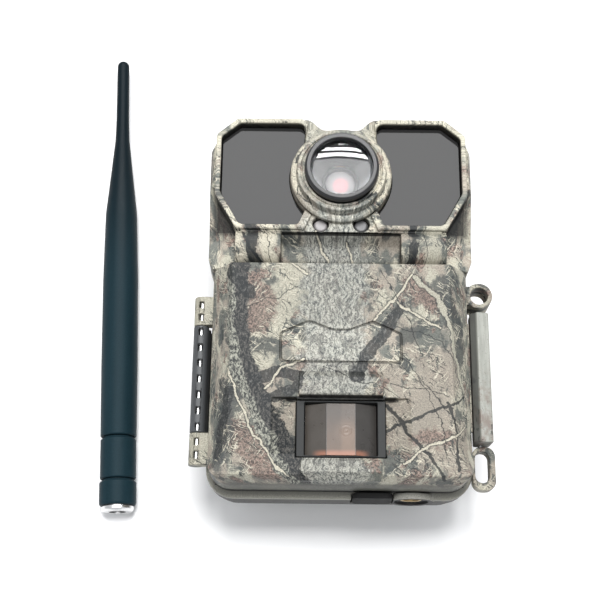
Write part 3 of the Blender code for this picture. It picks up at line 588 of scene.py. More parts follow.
def paint_inside(p, colour):
    """The film covers the outside only; the walls inside are plain dark plastic."""
    x, y, z = p.split(p.place)
    side = p.math("ABSOLUTE", x)
    taper = drawn_in(p, z, 26)
    wide = p.math("ADD", side, taper)
    roof = p.linear(p.math("MAXIMUM", p.math("SUBTRACT", side, DOOR_FLAT_HALF), 0), 1.3, z)
    corner = p.math("ADD", p.linear(wide, CORNER_SLOPE, y), taper)
    door = p.zone((y, 10.8, 10.5), (roof, 62.5, 62.1))
    case = p.zone((p.math("ADD", y, taper), 68.4, 68), (z, 54.6, 54.2), (corner, 112, 111.5))
    within = p.zone((p.math("SUBTRACT", y, taper), -68.2, -67.9), (wide, 46.3, 45.9), (z, 9.3, 9.7))
    return p.coat(colour, p.times(p.math("MAXIMUM", door, case), within), 0.97, (0.022, 0.023, 0.022))


def painted_shade_and_lift(p):
    """Brightness with painted shade on the window walls, the cheeks, in recesses and in grooves, with the
    head and plaque lifted.
    """
    x, y, z = p.split(p.place)
    side = p.math("ABSOLUTE", x)
    from_lens = p.away_from(x, 0, y, LENS_Y)
    # painted shade on the walls round the windows and on the sloped cheeks, kept off the inside of the head
    walls = p.zone((z, 67.2, 65.8), (side, 49, 47.6), (y, 27.6, 28.2), (side, 14, 14.6),
                   (from_lens, 19.7, 20.3))
    cheeks = p.zone((z, 66, 64.8), (y, 26, 28), (side, 36, 38), (side, 50.2, 48.6))
    inside = p.zone((y, 72, 71.4), (z, 55, 56), (p.linear(side, CORNER_SLOPE, y), 113.9, 113.5))
    painted_shade = p.times(p.math("MAXIMUM", walls, p.times(cheeks, 0.75)), inside)
    corners = p.math("MAXIMUM", p.span(y, 18, 25), p.times(p.span(side, 21.6, 22.9), 1.6))
    for strength, *spans in (
            # painted shade in the trough between the cheeks, deepest at its head and ends, on the ledge at
            # its head, on the foot of the brow, and in the plaque's groove
            (p.linear(corners, 0.36, 0.16), (y, 13.2, 13.6), (y, 25.8, 25.4), (side, 23.6, 23.2), (z, 52, 53),
             (z, 65.9, 65.5)),
            (1, (y, 24.2, 24.7), (y, 25.9, 25.4), (side, 23.6, 23), (z, 66.2, 65.6), (z, 63.2, 64)),
            (1, (y, -38.7, -39.1), (y, -40.6, -39.9), (side, 21.5, 19.5), (z, 62.4, 62.8)),
            (0.55, (z, 65.9, 65.6), (z, 65, 65.2), (side, 25, 24), (y, -28, -27), (y, -8, -9))):
        painted_shade = p.math("MAXIMUM", painted_shade, p.times(p.zone(*spans), strength))
    border = p.zone((z, 66.4, 67.2), (from_lens, 19.6, 20.2))
    lift = p.linear(p.zone((y, 26, 28.5), (z, 64, 65.5)), p.linear(border, 0.25, 0.2), 1)
    for strength, *spans in (
            # panel between the indicators, the feet of the cheeks, and the plaque
            (0.35, (side, 13.5, 12.5), (y, 25.4, 25.8), (y, 32, 31), (z, 65.5, 65.9)),
            (0.35, (side, 41, 42), (y, 13.1, 13.6), (y, 25, 24), (z, 55, 56), (z, 58, 57)),
            (0.25, (z, 65.7, 65.95), (side, 22.4, 21.8), (y, -11, -12.5), (y, -26, -25.4))):
        lift = p.linear(p.zone(*spans), strength, lift)
    return p.times(p.linear(painted_shade, -0.9, 1), lift)


def make_camouflage():
    """Printed woodland film: bark, limbs, twigs and dead leaves over tan and olive ground."""
    p = Paint("camouflage", specular=0.2)
    flat = unrolled(p)
    drift = p.noise(flat, 8, colour=True)
    crinkle = p.noise(flat, 1.2, 2, colour=True)
    bent = p.vector("ADD", flat, (-2.95, -2.95, 0))
    bent = p.vector("MULTIPLY_ADD", drift, (5, 5, 0), bent)
    bent = p.vector("MULTIPLY_ADD", crinkle, (0.9, 0.9, 0), bent)
    colour, fissure = paint_bark(p, flat, bent, paint_ground(p, flat, bent))
    colour = paint_inside(p, paint_foot(p, paint_wood(p, flat, bent, fissure, colour)))
    fine = p.noise(flat, 0.5, 3, 0.75)
    # fine mottling of the print, times painted shade in recesses and grooves and the brightened head and
    # plaque
    colour = p.shade(colour, p.times(p.linear(fine, 2.6, -0.25), painted_shade_and_lift(p)))
    p.bump(p.noise(p.place, 0.35, 2), 0.03)
    return p.finish(colour, p.linear(fine, 0.25, 0.4))


# ---------------- other finishes

def make_plain(name, colour, roughness, grain=0.5, spread=0.25, depth=0.02, metallic=0, specular=0.5):
    """Moulded or machined material with uneven tone, uneven gloss and a fine relief."""
    p = Paint(name, roughness, metallic, specular)
    fine, cloud = p.noise(p.place, grain), p.noise(p.place, 14)
    shaded = p.shade(colour, p.linear(p.math("ADD", fine, cloud), spread, 1 - spread))
    p.bump(fine, depth)
    return p.finish(shaded, p.linear(cloud, 0.3 * roughness, 0.85 * roughness))


def make_olive():
    """Grey-green plastic of the latch, with camouflage stains towards its foot and painted shade on its left
    facet.
    """
    p = Paint("olive_plastic", specular=0.4)
    x, y, _ = p.split(p.place)
    fine = p.noise(p.place, 0.5)
    streak = p.noise(p.stretch(p.place, (1.5, 12, 3)), 1)
    stain = p.noise(p.place, 6, 4, 0.65)
    mark = p.noise(p.stretch(p.place, (1, 2, 1)), 2.2, 3, 0.6)
    foot = (y, -22, -34)
    colour = p.mix(p.span(streak, 0.35, 0.65), (0.26, 0.265, 0.235), (0.33, 0.335, 0.3))
    # stains and marks towards the foot, painted shade on the left facet, and dark specks
    colour = p.coats(
        colour, (0.75, (0.17, 0.125, 0.105), (stain, 0.42, 0.62), foot),
        (0.8, (0.025, 0.022, 0.02), (mark, 0.6, 0.65), foot), (0.75, (0.05, 0.052, 0.048), (x, 52.3, 51.6)),
        (0.5, (0.06, 0.06, 0.05), (fine, 0.63, 0.68)))
    p.bump(fine, 0.03)
    return p.finish(colour, p.linear(streak, 0.2, 0.42))


def make_fresnel():
    """Milky grey-brown lens with fine rings, a painted warm glow in its middle and painted shading across its
    facets.
    """
    p = Paint("fresnel_plastic", specular=0.45)
    x, y, _ = p.split(p.place)
    side = p.math("ABSOLUTE", x)
    centre = p.away_from(x, 2, y, -51.2)
    cloud = p.noise(p.place, 5)
    # painted warm glow in the middle facet, warmer and brighter towards the foot, with painted shading that
    # lightens its right side
    middle = p.mix(p.span(y, -43, -58), (0.066, 0.052, 0.041), (0.12, 0.078, 0.052))
    middle = p.shade(middle, p.linear(p.span(x, -0.6, 1), 0.3, 0.7))
    # painted shading: the left facet lighter than the right
    facets = p.mix(p.span(x, -5, 5), (0.052, 0.045, 0.038), (0.034, 0.031, 0.028))
    colour = p.mix(p.span(side, 4.9, 5.6), middle, facets)
    from_seam = p.math("ABSOLUTE", p.math("SUBTRACT", side, 5.3))
    # painted warm glow round the centre, an orange line along the foot, and dark lines at the facet seams
    colour = p.coats(colour, (0.3, (0.2, 0.13, 0.09), (centre, 6, 0.5), (side, 6, 4.5)),
                     (0.85, (0.3, 0.13, 0.08), (y, -57.6, -59.6), (side, 11, 7)),
                     (0.6, (0.03, 0.028, 0.026), (from_seam, 0.35, 0.12)))
    colour = p.shade(colour, p.linear(cloud, 0.4, 0.8))
    rings = p.math("COSINE", p.times(centre, 2 * pi / 1.5))
    p.bump(p.times(rings, p.span(centre, 2.6, 2)), 0.05)
    return p.finish(colour, p.linear(cloud, 0.15, 0.22))


def make_glass():
    p = Paint("clear_glass", 0.02)
    p.shader.inputs["Transmission Weight"].default_value = 1
    p.shader.inputs["IOR"].default_value = 1.47
    smear = p.noise(p.place, 6)
    return p.finish(p.mix(smear, (0.97, 0.985, 0.99), (0.93, 0.95, 0.955)), p.linear(smear, 0.02, 0.005))


def make_element():
    """Coated front element: pale disc whose middle throws back pink light, all of it painted reflection in
    the colour.
    """
    p = Paint("coated_element", 0.2, specular=0.3)
    x, y, _ = p.split(p.place)
    wave = p.linear(p.noise(p.place, 2, 2), 0.8, -0.4)
    out = p.math("ADD", p.away_from(x, 0, y, LENS_Y), wave)
    low = p.math("ADD", p.away_from(x, 0, y, LENS_Y - 1.2), wave)
    # painted reflection: pale disc, pinkish ring and pink middle
    colour = p.mix(p.span(out, 5.3, 5.8), (0.42, 0.385, 0.385), (0.21, 0.21, 0.215))
    colour = p.mix(p.span(low, 3.7, 3.4), colour, (0.54, 0.42, 0.42))
    return p.finish(p.mix(p.span(low, 3.1, 2.5), colour, (0.72, 0.33, 0.35)))


def make_funnel():
    """Grey lens funnel with painted shade that takes it into black towards the head."""
    p = Paint("funnel_plastic", 0.55, specular=0.3)
    cloud = p.noise(p.place, 3)
    up = p.linear(cloud, 2, p.split(p.place)[1])
    # painted shade: grey towards the foot, darker, then black towards the head
    colour = p.mix(p.span(up, LENS_Y - 3.5, LENS_Y + 2.5), (0.29, 0.29, 0.295), (0.115, 0.116, 0.118))
    colour = p.mix(p.span(up, LENS_Y + 5, LENS_Y + 7.5), colour, (0.003, 0.003, 0.003))
    p.bump(cloud, 0.03)
    return p.finish(colour, p.linear(cloud, 0.2, 0.45))


def make_whip():
    """Dark teal rubber of the antenna, darker towards its thin tip."""
    p = Paint("antenna_rubber", specular=0.06)
    fine = p.noise(p.place, 0.5)
    cloud = p.noise(p.stretch(p.place, (1, 8, 1)), 5)
    colour = p.mix(p.span(p.split(p.place)[1], 10, 90), (0.0095, 0.025, 0.033), (0.004, 0.0095, 0.013))
    p.bump(fine, 0.02)
    colour = p.shade(colour, p.linear(p.math("ADD", fine, cloud), 0.5, 0.5))
    return p.finish(colour, p.linear(cloud, 0.2, 0.34))


def make_board():
    """Green solder mask with tracks and tinned pads."""
    p = Paint("circuit_board", 0.4)
    track = p.span(p.cells(p.place, 2.4, "DISTANCE_TO_EDGE"), 0.1, 0.05)
    tin = p.span(p.cells(p.place, 3), 0.17, 0.12)
    colour = p.mix(tin, p.mix(track, (0.012, 0.085, 0.035), (0.03, 0.16, 0.065)), (0.62, 0.6, 0.55))
    p.bump(p.math("ADD", track, tin), 0.05)
    return p.finish(colour, p.linear(tin, -0.15, 0.45))


def make_screen():
    """Dark display with a faint lit picture area of plain bands."""
    p = Paint("screen_glass", 0.08)
    low, high = (Vector(corner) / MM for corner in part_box("lcd_screen"))
    x, y, _ = p.split(p.place)
    inside = p.zone((x, low.x + 2, low.x + 2.2), (x, high.x - 2, high.x - 2.2),
                    (y, low.y + 2.5, low.y + 2.7), (y, high.y - 2.5, high.y - 2.7))
    hills = p.linear(p.noise(p.combine(x, 0, 0), 12), 14, -18)
    ridge = p.span(p.math("SUBTRACT", y, hills), 0.4, -0.4)
    picture = p.mix(ridge, (0.035, 0.05, 0.065), (0.018, 0.03, 0.02))
    colour = p.mix(inside, (0.006, 0.006, 0.008), picture)
    return p.finish(colour, p.linear(p.noise(p.place, 9), 0.06, 0.05))


CAMOUFLAGE = make_camouflage()
OLIVE_PLASTIC = make_olive()
BLACK_PLASTIC = make_plain("black_plastic", (0.014, 0.014, 0.015), 0.38, 0.45, 0.3)
FRAME_PLASTIC = make_plain("frame_plastic", (0.02, 0.021, 0.021), 0.5, 0.45, 0.3, specular=0.18)
HINGE_PLASTIC = make_plain("hinge_plastic", (0.05, 0.053, 0.056), 0.5, 0.45, 0.3, specular=0.4)
WINDOW = make_plain("dark_window", (0.018, 0.018, 0.018), 0.06, 3, 0.05, 0, specular=0.36)
GLASS, ELEMENT, FUNNEL, FRESNEL = make_glass(), make_element(), make_funnel(), make_fresnel()
RUBBER = make_plain("black_rubber", (0.01, 0.01, 0.01), 0.75, 0.6, 0.35, 0.05, specular=0.15)
WHIP_RUBBER = make_whip()
STEEL = make_plain("bright_steel", (0.7, 0.7, 0.7), 0.24, 0.4, 0.12, 0.01, metallic=1)
BRASS = make_plain("machined_brass", (0.55, 0.43, 0.25), 0.4, 0.4, 0.15, 0.01, metallic=1)
BOARD = make_board()
GREY_PLASTIC = make_plain("grey_plastic", (0.24, 0.24, 0.245), 0.45, 0.5, 0.12)
SCREEN = make_screen()
MILKY = make_plain("milky_diffuser", (0.3, 0.285, 0.285), 0.3, 1, 0.2)
SMOKED = make_plain("grey_diffuser", (0.13, 0.13, 0.132), 0.3, 1)


# ---------------- outlines

def case_outline(inset=0):
    foot, head = CASE_HALF - inset, HEAD_HALF - inset
    return rounded(mirrored([
        (foot, FOOT_Y + inset, 10 - inset), (foot, SHOULDER_Y), (head, SHOULDER_Y + SHOULDER_RISE),
        (head, CHAMFER_Y - inset / 2, 5), (CHAMFER_X - inset / 2, HEAD_Y - inset, 5)]))


def shrunk(outline, inset):
    """Outline drawn in towards its middle by about inset on each side."""
    reach_x = max(abs(point.x) for point in outline)
    reach_y = max(abs(point.y) for point in outline)
    return [Vector((point.x * (1 - inset / reach_x), point.y * (1 - inset / reach_y))) for point in outline]


def head_outline(inset=0, squeeze=0):
    """Head with a notch in its end, drawn in by inset all round and squeezed sideways."""
    side = HEAD_HALF - inset
    outline = rounded(mirrored([
        (CASE_HALF - inset, SHOULDER_Y + inset), (side, SHOULDER_Y + SHOULDER_RISE),
        (side, CHAMFER_Y - inset / 2, 5), (CHAMFER_X - inset / 2, HEAD_Y - inset, 4),
        (12.4 + inset / 2, HEAD_Y - inset, 4), (7.6 + inset / 2, 68.8 - inset, 4)]))
    return [Vector((point.x * (1 - squeeze / HEAD_HALF), point.y)) for point in outline]


def window_outline(side, grow=0, bite_grow=None):
    """Infrared window on one side (1 right, -1 left), with a round bite for the lens ring."""
    bite = LENS_BITE_R - (grow if bite_grow is None else bite_grow)
    corners = [
        (16.7 - grow / 2, 28.3 - grow, 1.5), (38.9 + grow / 2, 28.3 - grow, 2.5),
        (46.4 + grow, 41.8 - grow / 2, 2.5), (46.4 + grow, 64.8 + grow / 2, 2.5),
        (39.3 + grow / 2, 70.7 + grow, 2.5), (13.6 - grow / 2, 70.7 + grow, 3)]
    turns = [radians(44 - 90 * step / 24) for step in range(25)]
    arc = [(bite * cos(turn), LENS_Y + bite * sin(turn)) for turn in turns]
    points = rounded(corners + arc, 5)
    return points if side > 0 else [Vector((-point.x, point.y)) for point in reversed(points)]


def door_outline(inset=0):
    half = DOOR_HALF - inset
    return rounded(mirrored([(half, DOOR_FOOT_Y + inset, 8.5 - inset),
                             (half, DOOR_TOP_Y - inset, 1.5 if inset == 0 else 0)]))


def plaque_outline(inset=0):
    """Blank plaque with two shallow peaks."""
    return rounded(mirrored([
        (22.6 - inset, -26.2 + inset, 1.6), (22.6 - inset, -14.6 - inset * 0.6, 1.2),
        (11.9, -9.7 - inset, 3), (3, -13 - inset, 3)]), 6)


# ---------------- case

def make_case():
    """Shell whose walls draw in towards the back, as (height, inset) levels say."""
    levels = ((RIM_Z, 0), (36, 0), (24, 1.2), (12, 4.2), (9, 5.6), (BACK_Z, 8))
    hollow_levels = ((RIM_Z + 5, 0), (36, 0), (24, 1.2), (BACK_Z + WALL, 5))
    rim_levels = ((42.2, 0.3), (43.4, -0.35), (45.4, -0.35), (RIM_Z, 0))
    shell = loft("case_shell", [(shrunk(case_outline(), inset), z) for z, inset in levels])
    carve(shell, loft("hollow", [(shrunk(case_outline(WALL), inset), z) for z, inset in hollow_levels]))
    rim = loft("rim", [(case_outline(inset), z) for z, inset in rim_levels])
    carve(rim, block("rest", (-60, -53, 40), (60, FAR, 50)),
          prism("mouth", case_outline(WALL), 40, 50))
    join(shell, rim,
         rod("boss", (TRIPOD_X, TRIPOD_Z), 8.7, FOOT_Y - 0.6, DOOR_FOOT_Y - 0.4, "Y"),
         rod("sleeve", (TRIPOD_X, TRIPOD_Z), 4.8, DOOR_FOOT_Y - 1, -60.5, "Y"),
         block("port", (5.6, -71, 36.6), (19, -61, RIM_Z - 0.1)))
    grooves = [block("groove", (x - 0.35, -58, 33.2), (x + 0.35, 60, 34))
               for x in (-CASE_HALF, CASE_HALF)]
    carve(shell, *grooves,
          rod("insert_hole", (TRIPOD_X, TRIPOD_Z), 4.3, -76, -58, "Y"),
          rod("boss_ring", (TRIPOD_X, TRIPOD_Z), 6.4, -76, FOOT_Y + 0.4, "Y"),
          block("socket_hole", (8, -76, 38.8), (16.6, -58, 45.2)),
          block("plug_recess", (4.5, -76, 36), (20.1, DOOR_FOOT_Y - 0.3, 52)),
          rod("jack_hole", (0, 30), 3.4, 60, FAR, "Y"))
    for x in (-SCREW_X, SCREW_X):
        for y in (-SCREW_Y, SCREW_Y):
            carve(shell, rod("screw_hole", (x, y), 1.8, 0, BACK_Z + 8, "Z", 32))
    dress(smooth(shell, 0.3), "case", "camouflage", CAMOUFLAGE, "rear_housing")


def make_lugs():
    low, high, edge = 41.8, 47.2, CASE_HALF + GAP
    ring = rod("padlock_lug_shell", (RING_X, RING_Y), RING_R, low, high)
    join(ring, block("web", (CASE_HALF, RING_Y - 4, low), (RING_X, RING_Y + 4, high - 1.3)))
    carve(ring, block("trim", (0, -20, 30), (edge, 20, 60)),
          rod("hole", (RING_X, RING_Y), RING_HOLE_R, 38, 52))
    dress(smooth(ring, 0.5), "case", "camouflage", CAMOUFLAGE, "padlock_lug")
    lug = prism("cable_lug_shell", rectangle((edge, -69.1), (58.2, -52.7), 3.6), low, high)
    carve(lug, prism("slot", rectangle((50.6, -66.3), (55.9, -54.6), 2.6), 38, 52))
    dress(smooth(lug, 0.5), "case", "camouflage", CAMOUFLAGE, "cable_lug")


def make_head():
    low = RIM_Z + GAP
    cover = loft("head_shell", [(head_outline(0, squeeze), z) for squeeze, z in
                                ((0, low), (0, 62), (1.3, COVER_Z))])
    carve(cover, block("shoulder_step", (-60, 8, CHEEK_Z), (60, HEAD_FOOT_Y, FAR)))
    facet = [(47.6, 43.5, COVER_Z + 0.2), (38.8, HEAD_FOOT_Y, COVER_Z + 0.2), (52, 44, 62.5),
             (52, 25.6, CHEEK_Z), (38.8, HEAD_FOOT_Y, CHEEK_Z), (47.6, 43.5, FAR),
             (38.8, HEAD_FOOT_Y - 2, FAR), (52, 44, FAR), (56, 25.6, FAR), (52, 22, CHEEK_Z),
             (38.8, 22, CHEEK_Z)]
    for side in (-1, 1):
        carve(cover, hull("cheek", [(side * x, y, z) for x, y, z in facet]))
    for side in (-1, 1):
        join(cover, prism("border", window_outline(side, 2.2, 0), CEILING_Z + 1, FRAME_Z))
        strut = [(side * x, y) for x, y in ((11.4, 32.1), (14, 34.3), (17.4, 27), (14.2, 25.7))]
        join(cover, prism("strut", strut, CEILING_Z + 1, FRAME_Z))
        join(cover, prism("barrel", circle(21, 59, 8, 72), *sorted((side * 22.8, side * 40.2)), "X"))
    trough = rounded([(SHOULDER_Y, 52), (SHOULDER_Y, 61, 3), (20.8, 61.5, 5), (24.9, 64.9, 0.4),
                      (28, 64.9), (28, 52)], 10)
    join(cover, prism("trough", trough, -23.5, 23.5, "X"))
    carve(cover, prism("hollow", head_outline(WALL), 40, CHEEK_Z - WALL))
    join(cover, block("notch_floor", (-12, 66, low), (12, HEAD_Y - 0.4, low + 2)))
    deep = prism("deep", head_outline(WALL + 1), 50, CEILING_Z)
    reach = [(-35.5, 30), (35.5, 30), (44, 48), (46.5, FAR), (-46.5, FAR), (-44, 48)]
    carve(deep, prism("limit", reach, 40, 70), operation="INTERSECT")
    carve(cover, deep, rod("lens_hole", (0, LENS_Y), 14.4, 40, FAR, steps=96))
    for side in (-1, 1):
        carve(cover, prism("seat", window_outline(side, GAP), 61, FAR),
              prism("opening", window_outline(side, -1.6), 50, FAR),
              rod("indicator", (side * INDICATOR_X, INDICATOR_Y), 3.2, 50, FAR))
    dress(smooth(cover, 0.45), "case", "camouflage", CAMOUFLAGE, "head_cover")


def make_windows():
    for side, name in ((-1, "left"), (1, "right")):
        pane = prism(f"ir_pane_{name}", window_outline(side), 62, 63.6)
        dress(smooth(pane, 0.25), "case", "ir_window", WINDOW, f"ir_window_{name}")


# ---------------- lens

def make_lens():
    centre = (0, LENS_Y)
    surround = turned("lens_ring", [
        (14.1, 73, 0.2), (14.9, 73, 0.2), (15.1, 72.3, 0.1), (15.5, 72.3, 0.1), (15.7, 73, 0.2),
        (16.9, 73, 0.4), (17.3, 70.6, 0.3), (17, 70.2, 0.1), (17, 69.7, 0.1), (17.5, 69.3, 0.3),
        (18.9, 69, 0.4), (19.5, 68.3, 0.4), (19.5, 66.3), (14.1, 66.3)], centre)
    dress(smooth(surround, 0), "case", "camouflage", CAMOUFLAGE, "lens_surround")
    bezel = turned("lens_hood", [
        (11.8, 76.9, 0.3), (13.3, 76.9, 0.4), (14.1, 75.9, 0.5), (14.1, 74.3, 0.4), (13.5, 73.6, 0.2),
        (13.5, 60.2), (12.3, 60.2), (12.3, 75.9), (11.8, 75.9)], centre)
    dress(crisp(bezel), "case", "black_plastic", BLACK_PLASTIC, "lens_bezel")
    glass_r, rise = 12, 1.2
    dome = [(x, rise * (1 - (x / glass_r) ** 2)) for x in range(glass_r + 1)]
    cover = turned("lens_glass", [*[(x, 74.5 + z) for x, z in dome],
                                  *[(x, 73.9 + z) for x, z in reversed(dome)]], centre)
    dress(crisp(cover), "case", "clear_glass", GLASS, "lens_cover")
    cone = turned("lens_funnel", [
        (11, 73.8), (11.9, 73.8), (11.9, 72.6), (8.2, 61), (7.2, 61)], centre)
    dress(crisp(cone), "case", "grey_plastic", FUNNEL, "lens_cone")
    element_r, element_rise, steps = 5.9, 2.6, 12
    turns = [pi / 2 * step / steps for step in range(steps + 1)]
    dome = [(element_r * sin(turn), 58.6 + element_rise * cos(turn)) for turn in turns]
    element = turned("lens_front", [*dome, (element_r, 58), (0, 58)], centre)
    dress(crisp(element), "case", "clear_glass", ELEMENT, "lens_element")


def make_indicators():
    for side, node, finish in ((-1, "status_led_cap", MILKY), (1, "light_sensor_cap", SMOKED)):
        cap = turned(node + "_dome", [(0, 64.6), (2.2, 64.4, 0.8), (2.9, 62.6, 0.8), (2.9, 57.5),
                                      (0, 57.5)], (side * INDICATOR_X, INDICATOR_Y), 48)
        dress(crisp(cap), "case", "clear_glass", finish, node)


# ---------------- door

def make_door():
    door = prism("door_shell", door_outline(), DOOR_BACK_Z, DOOR_Z)
    top, foot, edge, bend = DOOR_TOP_Y + 2, DOOR_FOOT_Y - 2, DOOR_HALF + 1, -57
    drop = DOOR_Z - (DOOR_Z - DOOR_EDGE_Z) * (edge - DOOR_FLAT_HALF) / (DOOR_HALF - DOOR_FLAT_HALF)
    facet = [(DOOR_FLAT_HALF, top, DOOR_Z), (edge, top, drop), (DOOR_FLAT_HALF, top, FAR), (edge, top, FAR),
             (DOOR_FLAT_HALF, bend, DOOR_Z), (edge, bend, drop), (edge, foot, DOOR_Z), (edge, foot, FAR),
             (DOOR_FLAT_HALF, bend, FAR)]
    for side in (-1, 1):
        carve(door, hull("facet", [(side * x, y, z) for x, y, z in facet]))
    chin = [(-FAR, 55), (DOOR_FOOT_Y - 0.2, 58), (DOOR_FOOT_Y + 2.6, 66.1), (DOOR_FOOT_Y + 2.6, FAR),
            (-FAR, FAR)]
    carve(door, prism("chin", chin, -60, 60, "X"))
    section = rounded(mirrored([
        (DOOR_HALF - WALL, DOOR_BACK_Z - 5), (DOOR_HALF - WALL, DOOR_EDGE_Z - WALL / 2, 1.5),
        (DOOR_FLAT_HALF - WALL / 2, 61.8, 1.5)]), 4)
    hollow = prism("door_hollow", section, DOOR_FOOT_Y + WALL + 1, DOOR_TOP_Y - WALL, "Y")
    carve(hollow, prism("corners", door_outline(WALL + 0.6), 30, FAR), operation="INTERSECT")
    carve(door, hollow)
    groove = prism("groove", plaque_outline(), DOOR_Z - 0.6, DOOR_Z + 3)
    carve(groove, prism("plaque", plaque_outline(0.8), DOOR_Z - 2, DOOR_Z + 5))
    carve(door, groove)

    brow = [(-28.6, 65), (-31.8, 69), (-33, 69.6), (-38.4, 69.6), (-39.3, 68.8), (-39.3, 62.5), (-28.6, 62.5)]
    sill = [(-62.2, 62.5), (-62.2, 67.8), (-62.8, 68.4), (-66.8, 68.4), (-69.4, 65), (-69.4, 62.5)]
    join(door, prism("brow", brow, -15.2, 15.2, "X"), prism("sill", sill, -14.3, 14.3, "X"))
    scoop = ((16, 62.6), (18.5, 62.9), (24, 65), (25.8, 66.3), (25.8, 72), (16, 72))
    for side in (-1, 1):
        carve(door, prism("scoop", [(side * x, z) for x, z in scoop], PIR_FOOT_Y + 0.5, -39.3, "Y"))
    carve(door, block("pir_opening", (-PIR_FRAME_HALF - GAP, PIR_FOOT_Y - 0.9, 50),
                      (PIR_FRAME_HALF + GAP, PIR_TOP_Y + 0.9, FAR)))
    for low, high in KNUCKLES:
        join(door, rod("knuckle", (HINGE_X, HINGE_Z), KNUCKLE_R, low, high, "Y", 48),
             block("web", (HINGE_X, low, HINGE_Z - 1.6), (-DOOR_HALF + 1, high, HINGE_Z + KNUCKLE_R - 0.2)))
    join(door, rod("ring", (RING_X, RING_Y), RING_R, 47.6, 53),
         block("ring_web", (47, 1.2, 47.7), (53.4, 8.8, 52.8)),
         block("lip", (47, LATCH_SPAN[0] + 4, 49.4), (49.5, LATCH_SPAN[1] - 4, 51.6)))
    carve(door, rod("pin_hole", (HINGE_X, HINGE_Z), PIN_R + GAP, -61, 3, "Y", 32),
          rod("ring_hole", (RING_X, RING_Y), RING_HOLE_R, 40, 60),
          *hinge_slots(1.6, 2, 4.9), *hinge_slots(-51.7, 2, 4.9))
    dress(smooth(door, 0.3, 28), "door", "camouflage", CAMOUFLAGE, "front_door")


def hinge_slots(start, count, pitch):
    """Cutters for a row of slots over the hinge pin, down from start."""
    return [block("slot", (HINGE_X - 0.92, start - i * pitch - 2.8, HINGE_Z),
                  (HINGE_X + 0.92, start - i * pitch, HINGE_Z + 6)) for i in range(count)]


def make_pir():
    surround = block("pir_bezel", (-PIR_FRAME_HALF, PIR_FOOT_Y - 0.6, 57),
                     (PIR_FRAME_HALF, PIR_TOP_Y + 0.6, 65.6))
    carve(surround, block("opening", (-PIR_HALF - GAP, PIR_FOOT_Y, 50), (PIR_HALF + GAP, PIR_TOP_Y, FAR)))
    dress(smooth(surround, 0.3), "door", "black_plastic", FRAME_PLASTIC, "pir_frame")
    front = ((PIR_HALF, 60), (PIR_HALF, 62.2), (5.3, 64.9))
    back = ((4.9, 63.9), (PIR_HALF - 1, 61.4), (PIR_HALF - 1, 60))
    section = [*front, *[(-x, z) for x, z in reversed(front)], *[(-x, z) for x, z in reversed(back)], *back]
    lens = prism("pir_lens", section, PIR_FOOT_Y + GAP, PIR_TOP_Y - GAP, "Y")
    dress(crisp(lens, 10), "door", "fresnel", FRESNEL, "pir_window")


# ---------------- hinge and latch

def make_hinge():
    low, high = KNUCKLES[1][1] + GAP, KNUCKLES[0][0] - GAP
    barrel = rod("hinge_tube", (HINGE_X, HINGE_Z), KNUCKLE_R, low, high, "Y", 48)
    web = [(HINGE_X - 2, HINGE_Z - 1.6), (HINGE_X - 1.4, 42.5), (-CASE_HALF - GAP, 40),
           (-CASE_HALF - GAP, 46.6), (HINGE_X + 1.6, 49)]
    join(barrel, prism("web", web, low, high, "Y"))
    carve(barrel, rod("bore", (HINGE_X, HINGE_Z), PIN_R + GAP, -FAR, 20, "Y", 32),
          *hinge_slots(-9.2, 7, 6.15))
    dress(smooth(barrel, 0.25, 40), "case", "black_plastic", HINGE_PLASTIC, "hinge_barrel")


def make_latch():
    low, high = LATCH_SPAN
    section = rounded([(50.4, 43.4, 0.8), (56.6, 43.4, 1.6), (57, 53.2, 0.8), (52.4, 54.2, 0.5),
                       (50, 51.4, 0.4)], 4)
    lever = prism("latch_bar", section, low, high, "Y")
    carve(lever, rod("bore", (LATCH_X, LATCH_Z), LATCH_PIN_R + 0.1, low - 5, high + 5, "Y", 32))
    dress(smooth(lever, 0.3), "latch", "olive", OLIVE_PLASTIC, "latch_lever")


# ---------------- antenna

def make_antenna():
    """Pieces turned about the antenna's own axis, which lies beside the camera."""
    tip_r, steps = 2.66, 8
    turns = [pi / 2 * step / steps for step in range(steps + 1)]
    tip = [(tip_r * sin(turn), WHIP_LENGTH - tip_r + tip_r * cos(turn)) for turn in turns]
    shapes = (
        ("whip_sleeve", "antenna", "antenna_rubber", WHIP_RUBBER, "antenna_whip", [
            *tip, (2.8, 176), (3.1, 166, 20), (5, 147, 60), (6.75, 130, 60),
            (7.4, 100, 60), (7.5, 60), (7.3, 31, 0.7), (6.6, 30.7), (0, 30.7)]),
        ("whip_base", "antenna", "antenna_rubber", WHIP_RUBBER, "antenna_base", [
            (0, 30.4), (6.3, 30.4), (6.5, 30, 0.1), (7.25, 29.4, 0.6), (7.25, 13.6, 0.7),
            (6.6, 13.3), (0, 13.3)]),
        ("whip_collar", "collar", "antenna_rubber", WHIP_RUBBER, "antenna_collar", [
            (5.6, 13), (6.4, 13), (6.5, 12.7, 0.1), (7.45, 12, 0.8), (7.45, 3.4, 0.8),
            (6.9, 2.7, 0.2), (5.6, 2.7)]),
        ("whip_connector", "antenna", "steel", STEEL, "antenna_connector", [
            (0, 13), (5.2, 13), (5.2, 2.3), (6.5, 2.3, 0.2), (6.5, 1, 0.6),
            (5.6, 0.2, 0.2), (3.4, 0.2, 0.1), (3.4, 6), (0.9, 6), (0.9, 1.5, 0.2),
            (0.6, 1, 0.1), (0, 1)]))
    place = Matrix.Translation((WHIP_X * MM, WHIP_Y * MM, WHIP_R * MM))
    axis = place @ Matrix.Rotation(WHIP_LEAN, 4, "Z") @ Matrix.Rotation(-pi / 2, 4, "X")
    for name, body, slot, finish, node, corners in shapes:
        piece = turned(name, corners)
        piece.data.transform(axis)
        dress(crisp(piece), body, slot, finish, node)


